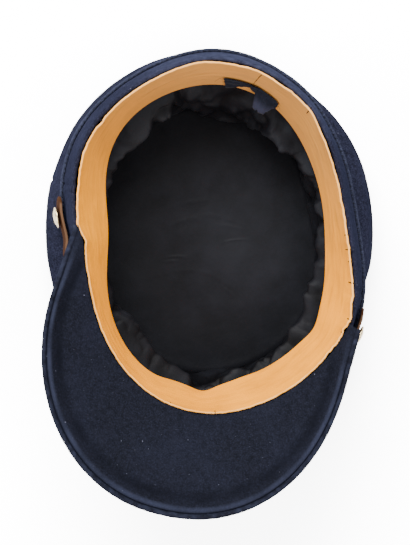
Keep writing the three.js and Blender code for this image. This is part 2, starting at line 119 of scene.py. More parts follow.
class YachtCapSweatband(bpy.types.PropertyGroup):
    """Sizes and colours of the leather sweatband."""

    top: length("Top", "Height of the leather's raw top edge", LEATHER_HIGH.z)
    drop: length("Drop", "From the top edge down to the free edge", LEATHER_HIGH.z - LEATHER_LOW.z)
    thick: length("Thickness", "Thickness of the leather", 1.3 * MM)
    leather: colour("Leather", "Colour of the clean leather", "#F09A04")
    leather_worn: colour("Leather, creased", "Colour where it is creased", "#C27A10")
    leather_edge: colour("Leather, edge", "Colour of the cut edge", "#EDAC60")


class YachtCapLining(bpy.types.PropertyGroup):
    """Sizes and colours of the satin lining."""

    tip: length("Tip", "Height of the lining tip's underside", LINING_TIP_Z)
    thick: length("Thickness", "Thickness of the satin with its interlining", 1.1 * MM)
    satin: colour("Satin", "Colour of the black satin", "#101114")
    # a paler copy of the satin, laid on as painted sheen
    satin_lit: colour("Satin, rubbed", "Colour where the satin is rubbed", "#1B1C22")


class YachtCapTrim(bpy.types.PropertyGroup):
    """Sizes and colours of the ribbon, the chin strap and its buttons."""

    strap_wide: length("Strap width", "Width of the chin strap", 12 * MM)
    strap_thick: length("Strap thickness", "Thickness of the chin strap", 1.9 * MM)
    strap_height: length("Strap height", "Height of the strap's middle line", 52.4 * MM)
    strap_clear: length("Strap clearance", "Air between the strap and the band", 0.4 * MM)
    button: length("Button", "Radius of a button", 6.4 * MM)
    ribbon: colour("Ribbon", "Colour of the ribbon", "#161923")
    strap: colour("Strap", "Colour of the strap's leather", "#3A2418")
    strap_edge: colour("Strap edge", "Colour of the strap's worn edge", "#5A4231")
    brass: colour("Gilt brass", "Colour of the buttons", "#F2DDB0")


class YachtCapStage(bpy.types.PropertyGroup):
    """The floor, the light and the lens."""

    floor: colour("Floor", "Colour of the floor", "#F4F4F5")
    floor_gain: number("Floor gain", "How much brighter the floor looks", 5.5)
    sky: number("Sky", "Strength of the even light", 0.95)
    key: number("Key", "Power of the large light, in watts", 47)
    right: number("Right", "Power of the right light, in watts", 10.5)
    left: number("Left", "Power of the left light, in watts", 12)
    lens: FloatProperty(
        name="Lens", description="Focal length", default=85.7, min=1, unit="CAMERA")


def in_mm(group, *names):
    """Some of a group's sizes, in millimetres."""
    return [getattr(group, name) / MM for name in names]


# ---- outlines and sections, in millimetres ----

Outline = namedtuple("Outline", "mean x y waves marks")
Wave = namedtuple("Wave", "count swing turn")
Mark = namedtuple("Mark", "at wide out")    # a bell: its middle, half width and height
Hump = namedtuple("Hump", "tall size seed", defaults=(0,))
Pair = namedtuple("Pair", "x y")


def table(kind, *rows):
    """A list with one row of the given kind for each tuple of its columns."""
    return [kind(*row) for row in rows]


# Outlines seen from above: a mean radius about a centre, waves round the cap, and local
# marks where something pushes the edge in or out.
HEAD_OPENING = Outline(
    90.3, -0.4, 0,
    table(Wave, (2, 12, 25.4), (4, 2, -10), (6, 0.5, 15.7)),
    table(Mark, (75, 8, 1.3), (-71, 6, -1.4), (-162, 14, 0.9), (162, 8, 0.6)))
FREE_EDGE = Outline(
    80.7, 0, 1.4,
    table(Wave, (2, 12.6, 19), (3, 2.3, -21), (4, 1.4, -19), (6, 0.7, 4)),
    table(Mark, (14, 4.5, 2.6), (2, 6, -1.5), (29, 6, -0.8), (66, 6.5, 1.9)))
CROWN_OVAL = Outline(
    108.1, -1.3, 2.9, [Wave(2, 5.9, 18)],
    table(Mark, (-118, 16, 0.6), (-90, 6, 0.5), (90, 7, -1.5), (136, 8, 0.3), (163, 9, -2.2)))
LINING_OVAL = Outline(78, -1, 0, table(Wave, (2, 8, 24), (4, 1.5, -12)), [])
BUTTON_DENT = Mark(76, 9, 1.6)   # where a button has pushed the band's middle in
SIDE_SEAMS = (-93, 88)           # bearings of the seams in the crown's side and the band
RING = 90                        # radius at which noise round the cap is taken

# A section's outer line is share times the crown's oval, mixed with the head opening by mix,
# moved out by out, in by dent times the button's dent, and to the right by skew times the
# foot's skew.
Section = namedtuple("Section", "z share mix out dent skew", defaults=(0, 0))
FOOT_SKEW = 1.1                  # how far the band's foot is shifted to the right


def bell(distance, width):
    return math.exp(-((distance / width) ** 2))


def blend(a, b, share):
    return a + (b - a) * share


def smoothstep(value, low, high):
    share = min(max((value - low) / (high - low), 0), 1)
    return share * share * (3 - 2 * share)


def bearing_between(a, b):
    return (a - b + 180) % 360 - 180


def marked(marks, bearing, start=0):
    """Adds up what some marks do at a bearing."""
    return sum((m.out * bell(bearing_between(bearing, m.at), m.wide) for m in marks), start)


def ridges(marks, off):
    """Adds up what some marks do at a distance from an edge."""
    return sum(m.out * bell(off - m.at, m.wide) for m in marks)


def radius_of(outline, bearing):
    angle = math.radians(bearing)
    radius = outline.mean + outline.x * math.sin(angle) - outline.y * math.cos(angle)
    for wave in outline.waves:
        radius += wave.swing * math.cos(wave.count * math.radians(bearing - wave.turn))
    return marked(outline.marks, bearing, radius)


def placed(bearing, radius, z):
    angle = math.radians(bearing)
    return Vector((radius * math.sin(angle), -radius * math.cos(angle), z))


def uneven(at, *humps):
    """Smooth noise at a point: humps up to tall high and size apart, shifted by their seed."""
    return sum(
        hump.tall * noise.noise(Vector(at) / hump.size + Vector((hump.seed, 1.7 * hump.seed, 0.3)))
        for hump in humps)


def ring(bearing, z=0, long=1):
    """A point for noise whose humps are long times longer round the cap than up it."""
    return placed(bearing, RING / long, z)


def rounded(share, least):
    """Half width of a round end, a share of the way in from its tip."""
    return math.sqrt(max(1 - (1 - min(share, 1)) ** 2, least))


def smooth_rows(rows, steps):
    """More rows between the given ones, on a Catmull-Rom curve through them."""
    kind = type(rows[0])
    made = []
    for i in range(len(rows) - 1):
        a, b, c, d = (rows[min(max(i + k, 0), len(rows) - 1)] for k in (-1, 0, 1, 2))
        for step in range(steps):
            t = step / steps
            made.append(kind(*(
                0.5 * (2 * q + (r - p) * t + (2 * p - 5 * q + 4 * r - s) * t * t
                       + (3 * q - p - 3 * r + s) * t ** 3)
                for p, q, r, s in zip(a, b, c, d))))
    return made + [rows[-1]]


def section_line(sections, bearing):
    """Outer line of a wall at a bearing, as (radius, height) points."""
    crown = radius_of(CROWN_OVAL, bearing)
    head = radius_of(HEAD_OPENING, bearing)
    dent = marked([BUTTON_DENT], bearing)
    skew = FOOT_SKEW * math.sin(math.radians(bearing))
    return [
        Vector((blend(crown, head, s.mix) * s.share + s.out - dent * s.dent + skew * s.skew, s.z))
        for s in sections]


def directions(line):
    """Unit direction along a line at each of its points."""
    last = len(line) - 1
    return [(line[min(i + 1, last)] - line[max(i - 1, 0)]).normalized() for i in range(last + 1)]


def wall_profile(line, wall, round_start=True, cap=5):
    """The line, a round end, the inner line one wall further in, and a round start."""
    along = directions(line)
    outward = [Vector((t.y, -t.x)) for t in along]
    inner = [p - n * wall for p, n in zip(line, outward)]

    def round_end(i, side):
        middle = (line[i] + inner[i]) / 2
        points = []
        for turn in (math.pi * k / cap for k in range(1, cap)):
            out, ahead = math.cos(turn) * wall / 2, side * math.sin(turn) * wall / 2
            points.append(middle + outward[i] * out + along[i] * ahead)
        return points if side > 0 else points[::-1]

    profile = line + round_end(-1, 1) + inner[::-1]
    return profile + round_end(0, -1) if round_start else profile


# ---- making and finishing meshes ----


def spun(stations, profile_at, closed=True):
    """A grid rolled round the Z axis: its columns are stations round the cap and its rows are
    the points of each station's profile. The UV map holds metres round the cap and metres
    along the profile."""
    profiles = [profile_at(station * 360 / stations) for station in range(stations)]
    if closed:
        profiles = [profile + profile[:1] for profile in profiles]
    rows = len(profiles[0]) - 1
    walked = [0.0]
    for a, b in zip(profiles[0], profiles[0][1:]):
        walked.append(walked[-1] + (b - a).length)
    girth = 2 * math.pi * max(point.x for point in profiles[0])
    bm = bmesh.new()
    bmesh.ops.create_grid(bm, x_segments=stations, y_segments=rows, size=0.5)
    uv = bm.loops.layers.uv.new("Cloth")
    for face in bm.faces:
        for loop in face.loops:
            row = round((loop.vert.co.y + 0.5) * rows)
            loop[uv].uv = ((loop.vert.co.x + 0.5) * girth * MM, walked[row] * MM)
    for vert in bm.verts:
        station = round((vert.co.x + 0.5) * stations)
        point = profiles[station % stations][round((vert.co.y + 0.5) * rows)]
        vert.co = placed(station * 360 / stations, point.x, point.y) * MM
    bmesh.ops.remove_doubles(bm, verts=bm.verts, dist=1e-7)
    bmesh.ops.recalc_face_normals(bm, faces=bm.faces)
    return bm


def tube(steps, sides, place):
    """A closed tube. place(share, x, y) gives the point, in millimetres, for a share of the
    tube's length and a place on the unit circle round it."""
    bm = bmesh.new()
    bmesh.ops.create_cone(bm, segments=sides, radius1=1, radius2=1, depth=steps, cap_ends=False)
    long_edges = [e for e in bm.edges if abs(e.verts[0].co.z - e.verts[1].co.z) > 1]
    bmesh.ops.subdivide_edges(bm, edges=long_edges, cuts=steps - 1, use_grid_fill=True)
    bmesh.ops.holes_fill(bm, edges=[e for e in bm.edges if e.is_boundary])
    for vert in bm.verts:
        vert.co = place(vert.co.z / steps + 0.5, vert.co.x, vert.co.y) * MM
    bmesh.ops.recalc_face_normals(bm, faces=bm.faces)
    return bm


def doubled(bm):
    """Adds a copy of a sheet's faces, joined to it all round, and gives the copy's vertices."""
    raised = bmesh.ops.extrude_face_region(bm, geom=list(bm.faces), use_keep_orig=True)
    return {item for item in raised["geom"] if isinstance(item, bmesh.types.BMVert)}


def joined(meshes):
    """One bmesh with everything in the given ones, which are freed."""
    whole = bmesh.new()
    for part in meshes:
        mesh = bpy.data.meshes.new("part")
        part.to_mesh(mesh)
        part.free()
        whole.from_mesh(mesh)
        bpy.data.meshes.remove(mesh)
    return whole


def paint(bm, name, value_at):
    """Gives a mesh an attribute, from a function of each vertex's place."""
    layer = bm.verts.layers.float.new(name)
    for vert in bm.verts:
        vert[layer] = value_at(vert.co)


def add_object(name, data):
    made = bpy.data.objects.new(name, data)
    bpy.context.scene.collection.objects.link(made)
    return made


def add_mesh(name, bm, material):
    mesh = bpy.data.meshes.new(name)
    bm.to_mesh(mesh)
    bm.free()
    mesh.materials.append(material)
    return add_object(name, mesh)


def add_piece(name, bm, material, slot, *nodes):
    """Turns a bmesh into a piece that rides on the cap and stands for its CAD nodes."""
    piece = add_mesh(name, bm, material)
    piece.data.polygons.foreach_set("use_smooth", [True] * len(piece.data.polygons))
    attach(piece, "root")
    if nodes:
        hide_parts(*nodes)
    return piece


def facing(place, direction):
    """The turn and place of something that stands at a place and looks along a direction."""
    return Matrix.Translation(place) @ direction.to_track_quat("Z", "Y").to_matrix().to_4x4()


# ---- materials ----

MIX_A, MIX_B, MIX_COLOUR = 6, 7, 2   # sockets of a Mix node that mixes colours
DEEP_WOOL = linear("#0B0C11")        # the dark between the fibres

# A noise has features size metres apart; a squeezed one follows the piece's UV map and is
# drawn out along it. A tint lays a colour over the tone, by a share that is its source or, with
# a low and a high, 0 where the source is low and most where it is high. A bump lies on top of
# the one before.
Noise = namedtuple("Noise", "size detail rough squeeze", defaults=(2, 0.5, None))
Tint = namedtuple("Tint", "source tone low high most", defaults=(None, None, 1))
Bump = namedtuple("Bump", "source distance strength")


def add_node(tree, kind, values=None, links=None, **settings):
    """Adds a shader node with its own settings, its sockets' values and its sockets' links."""
    made = tree.nodes.new("ShaderNode" + kind)
    for name, value in settings.items():
        setattr(made, name, value)
    for name, value in (values or {}).items():
        made.inputs[name].default_value = value
    for name, source in (links or {}).items():
        tree.links.new(source, made.inputs[name])
    return made


def surface(name, tone, patterns, tints, bumps=(), **constants):
    """A material made from tables. Each pattern is a noise, or a function that adds its own
    nodes. A tint's or a bump's source is a pattern, or else an attribute of the mesh."""
    material = bpy.data.materials.new(name)
    material.use_nodes = True
    tree = material.node_tree
    shader = tree.nodes["Principled BSDF"]
    for socket, value in constants.items():
        shader.inputs[socket.replace("_", " ")].default_value = value
    where = add_node(tree, "TexCoord").outputs
    sources = {}
    for key, pattern in patterns.items():
        if callable(pattern):
            sources[key] = pattern(tree, where)
            continue
        at = where["Object"]
        if pattern.squeeze:
            at = add_node(
                tree, "Mapping", {"Scale": (pattern.squeeze, 1, 1)},
                {"Vector": where["UV"]}).outputs[0]
        sources[key] = add_node(
            tree, "TexNoise",
            {"Scale": 1 / pattern.size, "Detail": pattern.detail, "Roughness": pattern.rough},
            {"Vector": at}).outputs["Fac"]
    for source, over, low, high, most in tints:
        if source not in sources:
            sources[source] = add_node(tree, "Attribute", attribute_name=source).outputs["Fac"]
        share = sources[source]
        if low is not None:
            share = add_node(
                tree, "MapRange", {"From Min": low, "From Max": high, "To Max": most},
                {"Value": share}).outputs["Result"]
        values, links = {MIX_B: over}, {0: share}
        (links if isinstance(tone, bpy.types.NodeSocket) else values)[MIX_A] = tone
        tone = add_node(tree, "Mix", values, links, data_type="RGBA").outputs[MIX_COLOUR]
    tree.links.new(tone, shader.inputs["Base Color"])
    under = {}
    for bump in bumps:
        under["Normal"] = add_node(
            tree, "Bump", {"Distance": bump.distance, "Strength": bump.strength},
            {"Height": sources[bump.source], **under}).outputs["Normal"]
    if under:
        tree.links.new(under["Normal"], shader.inputs["Normal"])
    return material


def melton_wool(name, deep, wool, tips):
    """Melton: navy wool, fulled until the weave closes and sheared to a short nap. It looks
    matt and speckled, and lights up softly where it turns away from the eye. Where its painted
    light attribute is above 0 a highlight is painted on it, and where it is below 0 shade is
    painted."""
    patterns = {
        "fibre": Noise(0.9 * MM, 3, 0.7),   # fibres are finer; drawn coarse to show
        "nap": Noise(2.6 * MM, 3, 0.65), "lint": Noise(1.6 * MM, 1), "wear": Noise(38 * MM)}
    tints = table(
        Tint,
        ("nap", wool, 0.35, 0.68), ("fibre", tips, 0.48, 0.74, 0.65),
        ("fibre", DEEP_WOOL, 0.44, 0.28, 0.3), ("lint", linear("#6E7082"), 0.77, 0.82, 0.5),
        # painted highlight where the painted light attribute is above 0, painted shade where it is
        # below 0
        ("wear", tips, 0.45, 0.75, 0.2), ("rub", linear("#454A62"), 0, 1, 0.6),
        ("rub", DEEP_WOOL, 0, -1, 0.7))
    bumps = table(Bump, ("fibre", 0.25 * MM, 0.7), ("nap", 0.2 * MM, 0.5))
    return surface(
        name, deep, patterns, tints, bumps, Roughness=1.0, Sheen_Weight=0.03,
        Sheen_Roughness=0.5, Sheen_Tint=linear("#6B76A8"), Specular_IOR_Level=0.0)


def vegetable_tanned_leather(name, leather, worn, edge, crease_size):
    """Vegetable-tanned sheepskin: smooth and tan, with a fine grain, soft creases along its
    length and a paler raw edge. Where its painted back shading attribute is above 0, shade is
    painted on it."""
    patterns = {
        "blotch": Noise(26 * MM, 3, 0.6), "crease": Noise(crease_size, 3, 0.55, 0.18),
        "grain": Noise(0.8 * MM, 3, 0.6)}
    tints = table(
        Tint,
        ("blotch", worn, 0.42, 0.75, 0.55), ("crease", worn, 0.5, 0.75, 0.6),
        # painted shade, darker and duller towards the back
        ("grain", worn, 0.5, 0.9, 0.18), ("handled", linear("#A0815C")), ("edge", edge))
    bumps = table(Bump, ("grain", 0.08 * MM, 0.6), ("crease", 0.8 * MM, 0.6))
    return surface(
        name, leather, patterns, tints, bumps, Roughness=0.8, Specular_IOR_Level=0.01)


def black_satin(name, satin, satin_lit):
    """Black satin: smooth warp floats that give a soft grey shine on each fold, with a paler
    painted sheen in soft patches. Its painted light attribute is above 0 where a highlight is
    painted, and below 0 where shade is painted."""
    patterns = {"rubbed": Noise(14 * MM, 4, 0.6), "slub": Noise(1.1 * MM, 3, 0.6)}
    tints = table(
        Tint,
        # painted sheen in soft patches
        ("rubbed", satin_lit, 0.25, 0.85), ("slub", satin_lit, 0.5, 0.8, 0.3),
        # painted highlight where the painted light attribute is above 0, painted shade where it is
        # below 0
        ("dust", linear("#292C31"), 0, 1), ("dust", linear("#060608"), 0, -1))
    bumps = table(Bump, ("slub", 0.12 * MM, 0.5), ("rubbed", 1 * MM, 0.4))
    return surface(
        name, satin, patterns, tints, bumps, Roughness=0.5, Sheen_Weight=0.02,
        Sheen_Roughness=0.35, Sheen_Tint=linear("#8A8E9E"), Specular_IOR_Level=0.07)


def waxed_thread(name, code):
    """Waxed linen thread: dark and nearly matt."""
    return surface(
        name, linear(code), {"twist": Noise(0.6 * MM)},
        [Tint("twist", linear("#15141A"))], Roughness=0.75, Specular_IOR_Level=0.1)


RIB = 0.9 * MM                   # from one rib of the ribbon to the next


def ribbed_ribbon(name, ribbon):
    """Grosgrain: a ribbon with cross ribs, matt and a little dusty. The loop's lower edge has
    frayed to paler fibres."""

    def ribs(tree, where):
        return add_node(
            tree, "TexWave", {"Scale": math.pi / (10 * RIB), "Distortion": 1.5},
            {"Vector": where["UV"]}).outputs["Fac"]

    def frayed(tree, where):
        along, across, _ = add_node(tree, "SeparateXYZ", links={"Vector": where["UV"]}).outputs
        low, ahead = (
            add_node(
                tree, "MapRange", {"From Min": near, "From Max": far, "To Max": most},
                {"Value": source}).outputs["Result"]
            for source, near, far, most in (
                (across, -2.5 * MM, -6 * MM, 0.8), (along, -0.5 * MM, -2.5 * MM, 1)))
        return add_node(tree, "Math", links={0: low, 1: ahead}, operation="MULTIPLY").outputs[0]

    return surface(
        name, ribbon, {"ribs": ribs, "frayed": frayed, "dusty": Noise(2.2 * MM, 3)},
        [Tint("dusty", linear("#272C3B"), 0.5, 0.8, 0.5), Tint("frayed", linear("#323547"))],
        [Bump("ribs", 0.1 * MM, 0.5)],
        Roughness=0.85, Sheen_Weight=0.05, Sheen_Roughness=0.4, Specular_IOR_Level=0.05)


def gilt_brass(name, brass):
    """Gilt brass: stamped, polished and a little scratched by handling."""
    return surface(
        name, brass, {"handling": Noise(1.4 * MM, 4, 0.7)},
        [Tint("handling", linear("#B98F4E"), 0.4, 0.8, 0.35)],
        [Bump("handling", 0.02 * MM, 0.5)], Metallic=1.0, Roughness=0.22)


def paper_sweep(name, tone, gain):
    """Matt white paper that looks gain times brighter than it lights what stands on it."""
    material = bpy.data.materials.new(name)
    material.use_nodes = True
    tree = material.node_tree
    seen = add_node(tree, "LightPath").outputs["Is Camera Ray"]
    bright = [channel * gain for channel in tone[:3]] + [1]
    mixed = add_node(tree, "Mix", {MIX_A: tone, MIX_B: bright}, {0: seen}, data_type="RGBA")
    matt = add_node(tree, "BsdfDiffuse", links={"Color": mixed.outputs[MIX_COLOUR]})
    tree.links.new(matt.outputs[0], tree.nodes["Material Output"].inputs["Surface"])
    tree.nodes.remove(tree.nodes["Principled BSDF"])
    return material


def wool_of(shell):
    return bpy.data.materials.get("Melton wool") or melton_wool(
        "Melton wool", shell.wool_dark, shell.wool, shell.wool_nap)


# ---- crown, band and piping ----

CROWN_EDGE_Z = 22                # where the crown's flat top ends and its side starts
GAP = 0.3                        # air between two pieces that meet
PIPING_PROUD = 1.5               # how far the piping's middle stands out from the band
PIPING_SIDES = 18
STITCH_COUNT = 216               # stitches round the piping
STITCH_WIDE, STITCH_OVER = 0.26, (88, 150)   # half width, and degrees over which it bends
SEAM_DEEP, SEAM_WIDE = 0.6, 0.8  # of the groove at a side seam
SEAM_SWELL = Mark(3, 2, 0.3)     # on each side of it, as a share of its depth
SOFT_DENT, CLOTH_DENT = Hump(0.5, 34, 3), Hump(0.16, 9, 8)
PIPING_LUMP = Hump(0.15, 5)
FOOT_HIGHLIGHT = Mark(2.4, 1.3, 0.5)   # painted highlight on the fold above the piping
# Painted highlight at the back of the band: where it starts and is full, its height, and its
# specks.
PAINTED_LIGHT_Y, PAINTED_LIGHT_TALL, PAINTED_LIGHT_SPECK = (0.065, 0.1), 12 * MM, Hump(0.4, 2.6, 4)

CROWN_TIP = smooth_rows(table(
    Section,
    (0, 0, 0, 0), (0, 0.3, 0, 0), (0, 0.6, 0, 0), (0, 0.76, 0, 0), (1.6, 0.845, 0, 0),
    (6, 0.925, 0, 0), (13.5, 0.98, 0, 0), (19.5, 0.998, 0, -0.4),
    (CROWN_EDGE_Z - GAP, 1, 0, -0.9)), 6)


def crown_side_sections(shell):
    seam, flare, wall, piping = in_mm(shell, "seam", "flare", "band_wall", "piping")
    return smooth_rows(table(
        Section,
        (CROWN_EDGE_Z, 1, 0, -0.9), (24, 1, 0.01, 0.2), (28, 1, 0.06, 1.2),
        (34, 1, 0.4, 5.2, 0, 0.4), (38.8, 1, 0.8, 9.2, 0, 0.8),
        (seam - piping - GAP, 1, 1, wall + flare + 1.2, 0, 1)), 8)


def band_sections(shell):
    seam, rim, flare, wall, piping = in_mm(shell, "seam", "rim", "flare", "band_wall", "piping")
    return smooth_rows(table(
        Section,
        (seam + piping + GAP, 1, 1, wall + flare - 0.3, 0.42, 1),
        (seam + piping + 2, 1, 1, wall + flare, 0.58, 1),
        (50, 1, 1, wall + flare * 0.93, 0.8, 0.9),
        (58, 1, 1, wall + flare * 0.72, 0.95, 0.7),
        (71, 1, 1, wall + flare * 0.32, 0.3, 0.3),
        (80, 1, 1, wall + flare * 0.1),
        (rim - 1.2, 1, 1, wall)), 9)


def seam_groove(bearing, radius):
    """How far a butt seam pulls the cloth in, with a soft swelling on each side."""
    groove = 0
    for seam in SIDE_SEAMS:
        away = math.radians(bearing_between(bearing, seam)) * radius
        groove += SEAM_DEEP * bell(away, SEAM_WIDE)
        groove -= SEAM_SWELL.out * SEAM_DEEP * bell(abs(away) - SEAM_SWELL.at, SEAM_SWELL.wide)
    return groove


def wool_line(sections, bearing, seams=True):
    """The wall's line with soft dents and, where it has them, its side seams."""
    line = section_line(sections, bearing)
    for point in line:
        point.x += uneven(placed(bearing, point.x, point.y), SOFT_DENT, CLOTH_DENT)
        if seams:
            point.x -= seam_groove(bearing, point.x)
    return line


def build_crown(shell):
    wool = wool_of(shell)
    wall = shell.wool_wall / MM

    def tip_profile(bearing):
        line = section_line(CROWN_TIP, bearing)
        for point in line:
            rise = smoothstep(point.y, 1, 10)
            point.x += rise * uneven(placed(bearing, point.x, point.y), SOFT_DENT)
        line[0].x = 0
        profile = wall_profile(line, wall, round_start=False)
        profile[-1].x = 0
        return profile

    bm = spun(shell.stations, tip_profile, closed=False)
    add_piece("crown_top", bm, wool, "wool", "crown_tip")
    side = crown_side_sections(shell)
    bm = spun(shell.stations, lambda bearing: wall_profile(wool_line(side, bearing), wall))
    add_piece("crown_quarters", bm, wool, "wool", "crown_side")


def build_band(shell):
    sections = band_sections(shell)
    wall, radius, seam = in_mm(shell, "band_wall", "piping", "seam")
    foot = shell.seam + shell.piping

    def band_profile(bearing):
        return wall_profile(wool_line(sections, bearing), wall - GAP, cap=7)

    def rub(co):
        """Painted highlight on the fold above the piping, and painted light in specks at the back.
        """
        handled = smoothstep(co.y, *PAINTED_LIGHT_Y) * smoothstep(co.z, foot, foot + PAINTED_LIGHT_TALL)
        handled *= 0.3 + uneven(co / MM, PAINTED_LIGHT_SPECK)
        return ridges([FOOT_HIGHLIGHT], (co.z - foot) / MM) + handled

    bm = spun(shell.stations, band_profile)
    paint(bm, "rub", rub)
    add_piece("wool_band", bm, wool_of(shell), "wool", "band")

    course = [Section(seam, 1, 1, (shell.band_wall + shell.flare) / MM + PIPING_PROUD, 0.15, 1)]

    def piping_middle(bearing):
        return wool_line(course, bearing, seams=False)[0].x

    def piping_profile(bearing):
        middle = piping_middle(bearing)
        middle += uneven(placed(bearing, middle, seam), PIPING_LUMP)
        return [
            Vector((middle + radius * math.cos(turn), seam + radius * math.sin(turn)))
            for turn in (math.radians(360 / PIPING_SIDES * k) for k in range(PIPING_SIDES))]

    # the piping's wool is painted paler than the band's: a painted highlight along the piping
    trim = melton_wool("Piping wool", linear("#1C1E28"), linear("#292B39"), linear("#42465C"))
    bm = spun(shell.stations, piping_profile)
    add_piece("crown_piping", bm, trim, "wool_trim", "band_piping")

    def stitch(at):
        def place(share, x, y):
            bearing = at + 0.5 * share
            middle = piping_middle(bearing)
            turn = math.radians(blend(*STITCH_OVER, share))
            off = radius + 0.1 + STITCH_WIDE * y
            return placed(
                bearing + math.degrees(STITCH_WIDE * x / middle), middle + off * math.cos(turn),
                seam + off * math.sin(turn))

        return tube(4, 6, place)

    stitches = joined([stitch(360 * k / STITCH_COUNT) for k in range(STITCH_COUNT)])
    add_piece("piping_stitches", stitches, waxed_thread("Navy thread", "#0E0F17"), "wool_trim")


# ---- peak ----

PEAK_FROM, PEAK_TO = -78, 75     # bearings of the peak's two corners
PEAK_TAPER = 16                  # degrees of bearing over which a corner thins
PEAK_SIDE_LIFT = 0.5             # extra share of slope where the peak bends round the sides
PEAK_MIDDLE_X, PEAK_HALF_WIDTH = 8, 88.3
PEAK_SHOULDER_Y, PEAK_REACH = -57, 100.6
PEAK_ROUND_LEFT, PEAK_ROUND_RIGHT = 2, 2.2
PEAK_NEAR, PEAK_FAR = 60, 200    # radii between which the peak's outline is looked for
PEAK_CORNER_WIDE = 0.6           # least width of wool between the band and the binding
PEAK_TUCK = 0.5                  # how far the wool goes in under its turned edge
PEAK_COLUMNS, PEAK_ROWS = 420, 70
PEAK_CROWD = 1.6                 # above 1, the rows crowd towards the turned edge
PEAK_UNDER = 0.4                 # share of the relief that shows on the other face
# In from the turned edge: a stitched groove, a padded ridge, then a shallow valley; and
# painted highlight on the ridge, painted shade in the valley behind it and in the groove.
PEAK_RELIEF = table(Mark, (0.2, 0.8, -1.2), (3.4, 2.3, 1.2), (10, 4, -0.9))
PEAK_PAINTED_LIGHT = table(Mark, (2.8, 2, 0.3), (9, 3.2, -0.85), (0, 0.6, -1))
PEAK_FADE = (2, 16)              # widths of wool over which both come in
PEAK_WARP, PEAK_SPECK = Hump(0.5, 40, 5), Hump(0.6, 5)
BINDING_OVER = 0.4               # degrees by which the turned edge runs past each corner
BINDING_END = 7                  # steps over which its ends close
# The turned edge's swelling, and the specks in the sheen painted on it.
BINDING_SWELL, BINDING_SHEEN_SPECK = Hump(0.08, 3), Hump(0.25, 3, 7)


def peak_reach(bearing):
    """How far the peak reaches along a bearing: straight sides, then a superellipse."""
    angle = math.radians(bearing)

    def inside(radius):
        x = radius * math.sin(angle) - PEAK_MIDDLE_X
        forward = PEAK_SHOULDER_Y + radius * math.cos(angle)
        across = abs(x) / PEAK_HALF_WIDTH
        if forward <= 0:
            return across < 1
        power = PEAK_ROUND_LEFT if x < 0 else PEAK_ROUND_RIGHT
        return across ** power + (forward / PEAK_REACH) ** power < 1

    low, high = PEAK_NEAR, PEAK_FAR
    while high - low > 0.001:
        middle = (low + high) / 2
        low, high = (middle, high) if inside(middle) else (low, middle)
    return low


class PeakShape:
    """Where the peak runs, in millimetres."""

    def __init__(self, peak, shell):
        self.slope = peak.slope
        self.thick, self.corner_thick = in_mm(peak, "thick", "corner_thick")
        self.binding, self.binding_tall = in_mm(peak, "binding", "binding_tall")
        self.rim = shell.rim / MM

    def inner(self, bearing):
        return radius_of(HEAD_OPENING, bearing) + GAP

    def outer(self, bearing):
        edge = peak_reach(bearing) - 2 * self.binding + PEAK_TUCK
        return max(edge, self.inner(bearing) + PEAK_CORNER_WIDE)

    def lift(self, bearing, radius):
        slope = self.slope * (1 + PEAK_SIDE_LIFT * math.sin(math.radians(bearing)) ** 2)
        return self.rim + GAP + slope * (radius - self.inner(bearing))

    def thickness(self, bearing):
        from_corner = min(bearing - PEAK_FROM, PEAK_TO - bearing)
        return blend(self.corner_thick, self.thick, smoothstep(from_corner, 0, PEAK_TAPER))


def build_peak(peak, shell):
    shape = PeakShape(peak, shell)
    bm = bmesh.new()
    rub = bm.verts.layers.float.new("rub")
    bmesh.ops.create_grid(bm, x_segments=PEAK_COLUMNS, y_segments=PEAK_ROWS, size=0.5)
    top = doubled(bm)
    reach = {}
    for vert in bm.verts:
        bearing = blend(PEAK_FROM, PEAK_TO, vert.co.x + 0.5)
        key = round(bearing, 4)
        if key not in reach:
            reach[key] = (shape.inner(bearing), shape.outer(bearing), shape.thickness(bearing))
        inner, outer, thick = reach[key]
        radius = blend(inner, outer, 1 - (1 - (vert.co.y + 0.5)) ** PEAK_CROWD)
        fade = smoothstep(outer - inner, *PEAK_FADE)
        relief = ridges(PEAK_RELIEF, outer - radius) * fade
        height = shape.lift(bearing, radius)
        height += uneven(placed(bearing, radius, 0), PEAK_WARP) * fade
        height += thick + relief if vert in top else -PEAK_UNDER * relief
        speck = 0.8 + uneven((bearing, radius / 4, 0), PEAK_SPECK)
        # painted highlight on the ridge, painted shade in the valley and the groove, in specks
        vert[rub] = fade * ridges(PEAK_PAINTED_LIGHT, outer - radius) * speck
        vert.co = placed(bearing, radius, height) * MM
    bmesh.ops.recalc_face_normals(bm, faces=bm.faces)
    wool = melton_wool("Peak wool", peak.wool_dark, peak.wool, peak.wool_nap)
    add_piece("wool_peak", bm, wool, "wool", "peak")
    build_binding(shape, wool)


def build_binding(shape, wool):
    """The peak's turned edge: a round bead that follows its outline and closes at each end."""

    def place(share, x, y):
        bearing = blend(PEAK_FROM - BINDING_OVER, PEAK_TO + BINDING_OVER, share)
        taper = rounded(min(share, 1 - share) * PEAK_COLUMNS / BINDING_END, 0.0004)
        inner = shape.inner(bearing) + PEAK_CORNER_WIDE + GAP
        middle = max(peak_reach(bearing) - shape.binding, inner + shape.binding)
        thick = shape.thickness(bearing)
        swell = 1 + uneven((bearing * 2, 0, 0), BINDING_SWELL)
        radius = middle + x * shape.binding * taper * swell
        tall = y * shape.binding_tall * thick / shape.thick * taper * swell
        return placed(bearing, radius, shape.lift(bearing, middle) + thick / 2 + tall)

    bm = tube(PEAK_COLUMNS, 20, place)
    # painted sheen on the turned edge, in specks
    paint(bm, "rub", lambda co: 0.1 + uneven(co / MM, BINDING_SHEEN_SPECK))
    add_piece("peak_edge", bm, wool, "wool_trim", "peak_binding")


# ---- sweatband ----

